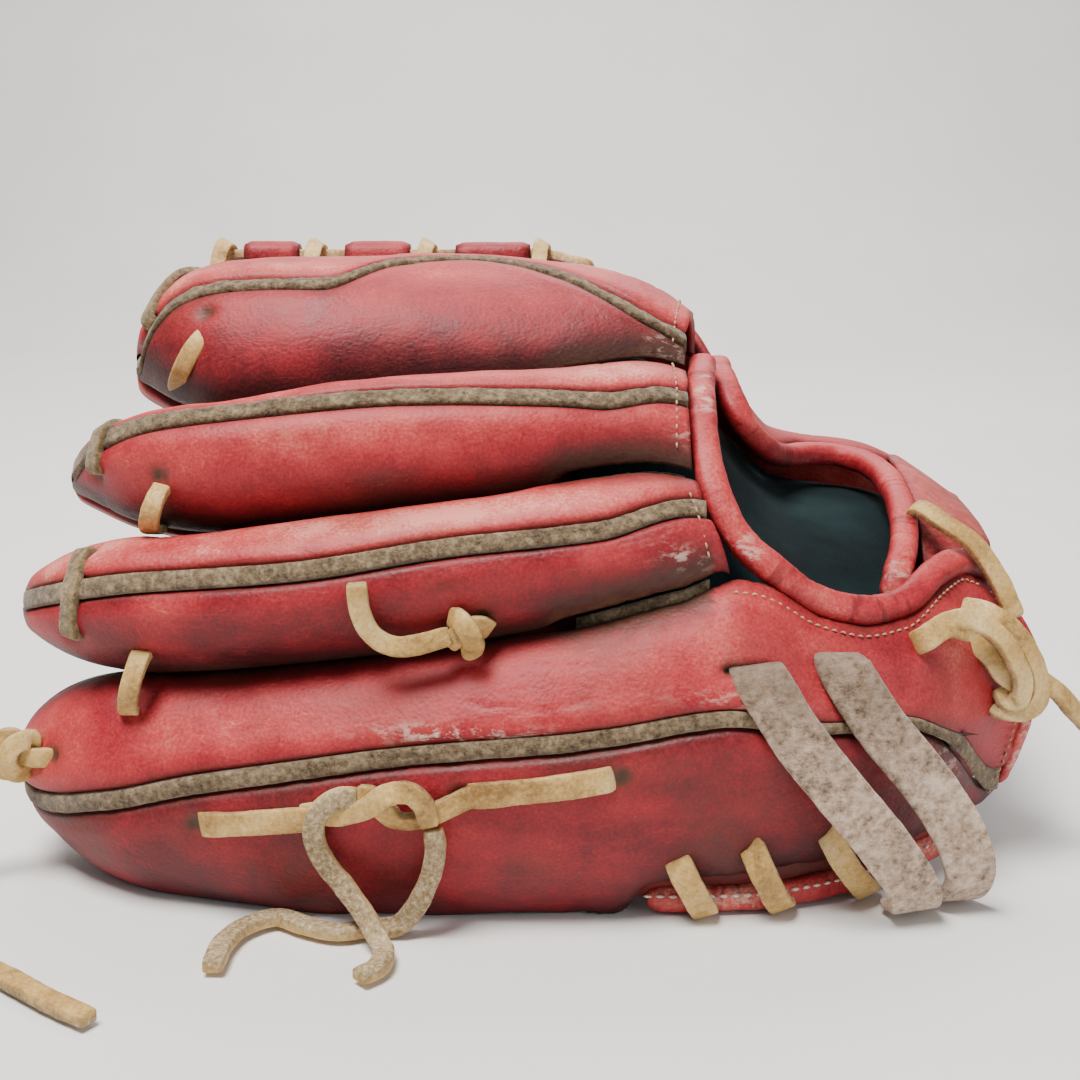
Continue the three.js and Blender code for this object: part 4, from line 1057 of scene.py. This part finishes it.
made = stitches("pinky_edge_stitching", [np.add(p, [0, -3.3, 1.9]) for p in PINKY_EDGE],
[0, -1, 0.6], white_thread)
show(made, body="finger_side", slot="binding_leather")
FINE = dict(pitch=2.3, length=1.5, radius=0.3)
for stall in (ring, middle, index):
    a = np.linspace(stall.low(KNUCKLE_X) + 3, stall.high(KNUCKLE_X) - 3, 9)
    x = rim_edge(a) - 3.0 - 0.8 * np.abs(stall.across(KNUCKLE_X, a))
    stitch_row(f"{stall.name}_rim_stitching", stall, np.stack([x, a], axis=1), tan_thread, **FINE)
x = np.linspace(48, 118, 16)
stitch_row("pinky_rim_stitching", pinky, np.stack([x, pinky.high(x) - 2.6], axis=1), tan_thread, **FINE)
for stall in (pinky, thumb):
    a = np.linspace(stall.low(WRIST_X) + 2.5, stall.high(WRIST_X) - 2.5, 24)
    x = WRIST_END - WRIST_BOW * stall.across(WRIST_X, a) ** 2
    at = [stall.skin_at(px - 0.4, pa, -1.0) for px, pa in zip(x, a)]
    up = [stall.normal_at(px - 0.4, pa) for px, pa in zip(x, a)]
    binding(f"{stall.name}_wrist_rolled", at, up, 4.6, 3.4, body=BODY[f"{stall.name}_welt"],
            tone=0.42, seed=141, floor=0.2)
    stitch_row(f"{stall.name}_wrist_stitching", stall, np.stack([x - 4.2, a], axis=1), tan_thread, **FINE)

# ---------------------------------------------------------------- wrist strap
STRAP_X = (104.5, 128.5)
WEDGE = dict(start=place(116, 45, 20.0), end=place(116, 82, 24.0))  # where the strap and its lace bend
x, a = patch(STRAP_X, 33, 87, 34, 80)
strap_top = place(x, a, mix(25, 17, np.clip((62 - a) / 14, 0, 1)) + LEATHER)
strap_normal = outward(x, a, 20.0)
edge_roll = -1.2 * sum(bell(x - edge_x, 1.6) for edge_x in STRAP_X)
strap_top = strap_top + strap_normal * (edge_roll + 0.4 * fractal(strap_top, 14, 3, 141))[..., None]
# Painted light: upward-facing strap leather is lighter; it is also darker along both rolled edges.
strap_tone = 0.62 + 0.14 * strap_normal[..., 2] - 0.3 * sum(bell(x - edge_x, 2) for edge_x in STRAP_X)
wrist_strap = thick_sheet("wrist_strap_leather", strap_top, strap_top - strap_normal * LEATHER, back,
                          wear(strap_tone, 0.2, 0.1))
bend(wrist_strap, "wrist_strap", **WEDGE)


# ---------------------------------------------------------------- laces on the fingers
def lay(node, runs, width, thickness, material=lace, kind="lace", **shape):
    """Flat strips that stand for one CAD node."""
    made, _ = strips(f"{node}_{kind}", runs, material, width, thickness, **shape)
    return show(made, node)


def stitch_run(stall, line, dive=3.5, lift=1.1):
    """A lace lying on a stall, its ends diving into the leather."""
    at = [stall.skin_at(x, a) + stall.normal_at(x, a) * lift for x, a in line]
    up = [stall.normal_at(x, a) for x, a in line]
    first, last = unit(at[0] - at[1]), unit(at[-1] - at[-2])
    at = [at[0] + first * 1.6 - up[0] * dive, at[0] + first * 0.9 - up[0] * 0.6, *at,
          at[-1] + last * 0.9 - up[-1] * 0.6, at[-1] + last * 1.6 - up[-1] * dive]
    return at, [up[0], up[0], *up, up[-1], up[-1]]


for node, stall, line in (
    ("index_tip_stitch", index, [[-102, 86], [-106, 79], [-110, 71]]),
    ("middle_tip_stitch", middle, [[-112, 49], [-113.6, 44.6], [-115.4, 40.4]]),
    ("ring_tip_stitch", ring, [[-115.6, 27], [-116.8, 22.2], [-118, 17.3]]),
):
    lay(node, [stitch_run(stall, line)], 5.2, 2.4, brown_lace)

VALLEY_LOOPS = {
    "index_middle_lace": [[-89, 76, 141], [-90.6, 69.5, 140.5], [-94, 66.5, 136.5], [-98, 67, 130],
                          [-100.5, 72, 125.5], [-101, 78, 124]],
    "middle_ring_lace": [[-95.5, 38, 105], [-96.5, 31, 103.6], [-98, 28, 99.5], [-99.6, 31, 95],
                         [-100.4, 38, 92.2], [-100.6, 44, 91.5]],
    "ring_pinky_lace": [[-98.5, 22, 66], [-99.5, 14.6, 64.8], [-101.2, 11, 59], [-102.8, 13, 52.6],
                        [-103.4, 18.5, 49.5], [-103.6, 25, 48.5]],
}
VALLEY_UPS = [[0, 0, 1], [0, -0.6, 1], [0, -1, 0.2], [0, -1, -0.2], [0, -0.6, -1], [0, 0, -1]]
for node, line in VALLEY_LOOPS.items():
    lay(node, [(line, VALLEY_UPS)], 5.0, 2.4, kind="strand")

panel_runs = {
    "panel_lace_front_stitch": [[-81.5, -4.5], [-74, -4.0], [-65, -3.3], [-56, -2.7]],
    "panel_lace_back_stitch": [[-15, 0.5], [-5, 1.0], [6, 1.6], [15.5, 2.2]],
}
for node, line in panel_runs.items():
    lay(node, [stitch_run(pinky, line)], 6.2, 2.4)

FRONT = [0, -1, 0.1]
KNOTS = {
    "pinky_tip_knot": [
        ([[-124, 30, 34], [-126.9, 24, 35], [-131, 24.2, 34.8], [-135.5, 25.6, 35.6],
          [-139.5, 26.2, 37.5]], FRONT),
        ([[-132.6, 28.5, 36], [-132.2, 25, 39.6], [-136, 22.8, 38.4], [-137.6, 22.4, 34.6],
          [-136.4, 23.6, 31], [-134, 27.5, 30]],
         FRONT),
        ([[-134.5, 28, 31.5], [-139.5, 25.6, 30.8], [-142.4, 25.4, 34.4], [-140.6, 27.2, 38.4],
          [-136, 29, 38.4]], FRONT),
    ],
    "ring_gap_knot": [
        ([[-12.6, 10.5, 73.6], [-14.9, 5.5, 75.6], [-17.7, 3, 75.6], [-20.6, 3.4, 73.2],
          [-22, 6, 71.4]], FRONT),
        ([[-21.4, 6, 78], [-18.8, 2.6, 77.6], [-16.4, 2, 74], [-16.2, 4.4, 70.6], [-18.6, 6.4, 69.8]], FRONT),
    ],
    "wrist_knot": [
        ([[97.7, 26.5, 64.5], [98.2, 22.5, 68.7], [102.4, 23.5, 71], [108.1, 26, 71.6], [113.9, 27, 69.5],
          [118.8, 27, 65.7],
          [122.3, 27, 60.3], [125.1, 28, 54.1], [124.8, 29, 49.1], [122.3, 31, 48.1], [120.9, 33, 50.7]],
          [0.35, -1, 0.45]),
        ([[110.4, 36, 72.2], [115.6, 33, 71.5], [120, 31, 69.4], [124.8, 31, 64.5], [128.6, 31, 58.5],
          [130.7, 31, 52],
          [129.6, 30, 47.4], [125.8, 30.5, 45], [121, 32, 45.3], [118.2, 36, 45.5]], [0.5, -1, 0.3]),
        ([[112, 34, 64], [117, 31.5, 60], [121, 31, 55], [126, 32.4, 51.5]], [0.2, -1, 0]),
    ],
    "panel_lace_knot": [
        ([[-58.4, -1.5, 30.8], [-53.4, -5.5, 32.2], [-47.7, -8, 32.8], [-41.3, -9.6, 35.3],
          [-35.9, -10.8, 39.1],
          [-31.1, -10.8, 39.6], [-27.9, -10.4, 36.9], [-26.2, -9.6, 30.7]],
         [FRONT, FRONT, FRONT, FRONT, [0, -0.9, 0.6], FRONT, [0.2, -1, -0.2], FRONT]),
        ([[-13.1, -2, 36.7], [-16.3, -6.5, 37], [-22.4, -7.6, 34.4], [-29.1, -8, 31.5], [-34, -7.4, 31.3],
          [-37.3, -7.4, 33.8],
          [-40, -8.2, 37.5], [-43.6, -8.6, 37.8]],
         [FRONT, FRONT, FRONT, [0, -0.8, -0.6], [0, -0.8, -0.6], FRONT, FRONT, FRONT]),
    ],
}
for node, runs in KNOTS.items():
    lay(node, runs, 5.2, 2.7, spacing=0.6)

# ---------------------------------------------------------------- pinky loop straps
STRAPS = {
    "pinky_loop_strap_front": (
        [[51.8, 7, 64.6], [52, 2.6, 65.6], [53.4, -1.4, 63.4], [61.6, -4.6, 50.6], [72.8, -6.8, 36.7],
         [84, -5.6, 22.8],
         [91.6, -2.4, 11], [93.6, 2, 4.2], [91.5, 9, 2.6]],
        [[0, -0.1, 1], [0, -0.7, 1]] + [[0, -1, 0]] * 4 + [[0.2, -1, -0.2], [0.2, -0.8, -0.8], [0, 0, -1]]),
    "pinky_loop_strap_back": (
        [[73, 15.5, 64.8], [73.6, 10.6, 65.6], [75, 6, 63], [83, 3.2, 50.9], [95, 2, 36.4], [104, 2.4, 22.2],
         [107.6, 4.4, 11], [106.2, 8, 4.2], [102.5, 14, 2.6]],
        [[0, -0.1, 1], [0.2, -0.7, 1]] + [[0, -1, 0]] * 4 + [[0.2, -1, -0.2], [0.2, -0.8, -0.8], [0, 0, -1]]),
}
for node, (line, ups) in STRAPS.items():
    lay(node, [(line, ups)], 13, 2.8, strap_suede, "suede", sides=28, squareness=0.3, wobble=0.015)

# ---------------------------------------------------------------- edge lacing and wrist lacing
EDGE_STITCHES = [
    [[32.4, 4.5, 19.5], [33.4, 0.6, 18.6], [35, -1.9, 15], [37.6, -2.2, 10], [40.2, 0, 4.6],
     [41.4, 3, 1.9], [42, 7, 1.6]],
    [[51.2, 5, 21], [52.2, 1, 20.4], [54, -1.4, 16.4], [56.4, -1.2, 11.4], [59, 1.6, 5.8], [61, 5, 2.6],
     [61.6, 8.5, 2]],
    [[71, 11, 22], [72, 7.2, 21.6], [74.2, 4.9, 17.6], [77.4, 5.6, 12.4], [81, 8.4, 7.2], [84, 12, 3.2],
     [85, 16, 2.6]],
]
for i, line in enumerate(EDGE_STITCHES):
    lay(f"edge_stitch_{i + 1}", [(line, [0, -1, -0.2])], 6.6, 2.4)


def on_sheet(line):
    """A run given as x, a and height."""
    return [place(*p) for p in line], [outward(*p) for p in line]


wrist_line = [[101.5, 58, 24], [103, 57, 28.6], [109, 52, 31.6], [117, 48, 33], [124, 40, 31.5],
              [128, 31, 29]]
made, _ = strips("wrist_lace_strand", [on_sheet(wrist_line)], lace, 5.4, 2.6)
bend(made, "wrist_lace", **WEDGE)
loop_line = [[95, 24, 25], [97, 24.5, 29.4], [104, 27, 31], [111, 25.5, 32]]
made, _ = strips("wrist_loop_strand", [on_sheet(loop_line)], lace, 6.5, 2.6)
show(made, "wrist_lace_loop")

# ---------------------------------------------------------------- web
INDEX_ROLL, THUMB_ROLL = np.array([128.5, 158.5]), np.array([163, 96.0])
BARS = [[-91, -74], [-60, -40], [-26, -3]]
BAR_PROFILE = [[0, 124.4, 157.2], [0, 125.6, 161.4], [0, 129.2, 163.0], [0, 134, 160.6], [0, 143, 154.8],
               [0, 153.5, 142], [0, 160.6, 123], [0, 165.6, 104], [0, 167.4, 96], [0, 165.4, 92],
               [0, 161.5, 91.4]]
WEB_BEND = dict(start=[0, INDEX_ROLL[0] + 4, 0], end=[0, THUMB_ROLL[0] - 4, 0])
path, _ = smooth_path(BAR_PROFILE, 1.2)
up = unit(np.cross(unit(np.gradient(path, axis=0)), [-1.0, 0, 0]))
if (up[len(up) // 2] @ [0, 0.7, 0.7]) < 0:
    up = -up
for i, (x0, x1) in enumerate(BARS):
    xs = np.linspace(x0, x1, 24)
    top = np.stack([np.stack([xs, np.full(24, p[1]), np.full(24, p[2])], axis=1) for p in path])
    u = np.broadcast_to(up[:, None], top.shape)
    edge = np.minimum(xs - x0, x1 - xs)[None]
    top = top + u * (-0.9 * bell(edge, 1.4) + 0.35 * fractal(top, 12, 3, 151 + i))[..., None]
    # Painted light: upward-facing leather is lighter; the tone also darkens along the dipped edges.
    tone = 0.55 - 0.25 * bell(edge, 1.6) + 0.12 * u[..., 2]
    node = f"web_bar_{i + 1}"
    bend(thick_sheet(node + "_leather", top, top - u * 2.6, back, wear(tone, 0.25 * bell(edge, 2))),
         node, **WEB_BEND)

xs = np.linspace(-96, 14, 120)[:, None]
v = np.linspace(-1, 1, 16)[None]
post_up = unit(np.array([0, 0.75, 0.65]))
post_side = unit(np.cross([1.0, 0, 0], post_up))
flat = 0 * xs + 0 * v
post = np.stack([xs + flat, 156.5 + flat, 145.5 + flat], axis=-1) + post_side * (7 * v + flat)[..., None]
edge_share = bell(1 - np.abs(v), 0.2)
post = post + post_up * (-0.8 * edge_share + 0.4 * fractal(post, 14, 3, 161))[..., None]
made = thick_sheet("web_post_leather", post, post - post_up * 2.4, back, wear(0.55 - 0.25 * edge_share + flat, 0.1))
bend(made, "web_post", **WEB_BEND)

WEB_LACE_INDEX = [[-98, *INDEX_ROLL], [-60, *INDEX_ROLL], [-14, *INDEX_ROLL], [2, *INDEX_ROLL],
                  [16, 124, 155.5]]
WEB_LACE_THUMB = [[-94, *THUMB_ROLL], [-50, *THUMB_ROLL], [2, *THUMB_ROLL]]
for node, line in (("web_lace_index", WEB_LACE_INDEX), ("web_lace_thumb", WEB_LACE_THUMB)):
    lay(node, [(line, [0, 0.4, 1])], 5.0, 3.2, kind="strand")

# Short loops of lace tie the web laces to the edges of the index finger and the thumb.
INDEX_LOOP = [[113, 147], [118, 157.5], [124, 162], [130, 161.6], [132, 157], [128.5, 153.4], [119, 148]]
THUMB_LOOP = [[172, 78], [169.5, 89], [167.4, 98], [163, 101.4], [158.8, 97], [160.5, 89], [167, 78]]


def web_ties(name, loop, centre, places, body):
    runs = []
    for x in places:
        line = np.array([[x + 0.7 * k, y, z] for k, (y, z) in enumerate(loop)])
        runs.append((line, unit(line - np.array([x, *centre]))))
    made, _ = strips(name, runs, lace, 4.6, 2.0)
    show(made, body=body, slot=SLOT["web_lace_index"])


web_ties("web_ties_index", INDEX_LOOP, INDEX_ROLL, (-98, -70, -36, -1), "finger_side")
web_ties("web_ties_thumb", THUMB_LOOP, THUMB_ROLL, (-70, -36, -2), "thumb_side")

# ---------------------------------------------------------------- stage and light
FLOOR_END, COVE, WALL_TOP = 1.2, 0.8, 3.5  # metres
mesh = bpy.data.meshes.new("sweep")
cove = [(FLOOR_END + COVE * math.sin(t), COVE - COVE * math.cos(t)) for t in np.linspace(0.1, math.pi / 2, 12)]
profile = [(-3.0, 0.0), (FLOOR_END, 0.0), *cove, (FLOOR_END + COVE, WALL_TOP)]
points = [(x, y, z) for y, z in profile for x in (-5, 5)]
mesh.from_pydata(points, [], [(2 * k, 2 * k + 1, 2 * k + 3, 2 * k + 2) for k in range(len(profile) - 1)])
mesh.materials.append(plain("pale_floor", (0.78, 0.765, 0.74), (0.82, 0.805, 0.78)))
mesh.shade_smooth()
sweep = bpy.data.objects.new("sweep", mesh)
bpy.context.scene.collection.objects.link(sweep)


def area_light(name, at, target, size, power, colour):
    light = bpy.data.objects.new(name, bpy.data.lights.new(name, "AREA"))
    bpy.context.scene.collection.objects.link(light)
    light.data.size, light.data.energy, light.data.color = size, power, colour
    light.location = at
    light.rotation_euler = (Vector(target) - Vector(at)).to_track_quat("-Z", "Y").to_euler()


area_light("key", (-0.30, -0.35, 1.25), (0, 0, 0.05), 0.5, 33, (1.0, 0.975, 0.94))
area_light("fill", (1.1, -0.9, 0.6), (0, 0, 0.08), 1.0, 6, (0.95, 0.97, 1.0))
area_light("backdrop", (0.0, 0.9, 1.7), (0, 2.0, 0.9), 1.2, 30, (1.0, 0.99, 0.97))
area_light("rim", (0.2, 1.0, 1.3), (0, 0, 0.1), 0.9, 12, (1.0, 0.98, 0.96))
world = bpy.data.worlds.new("soft_sky")
bpy.context.scene.world = world
world.use_nodes = True
sky = world.node_tree.nodes["Background"].inputs
sky[0].default_value = (0.93, 0.95, 1.0, 1)
sky[1].default_value = 0.24
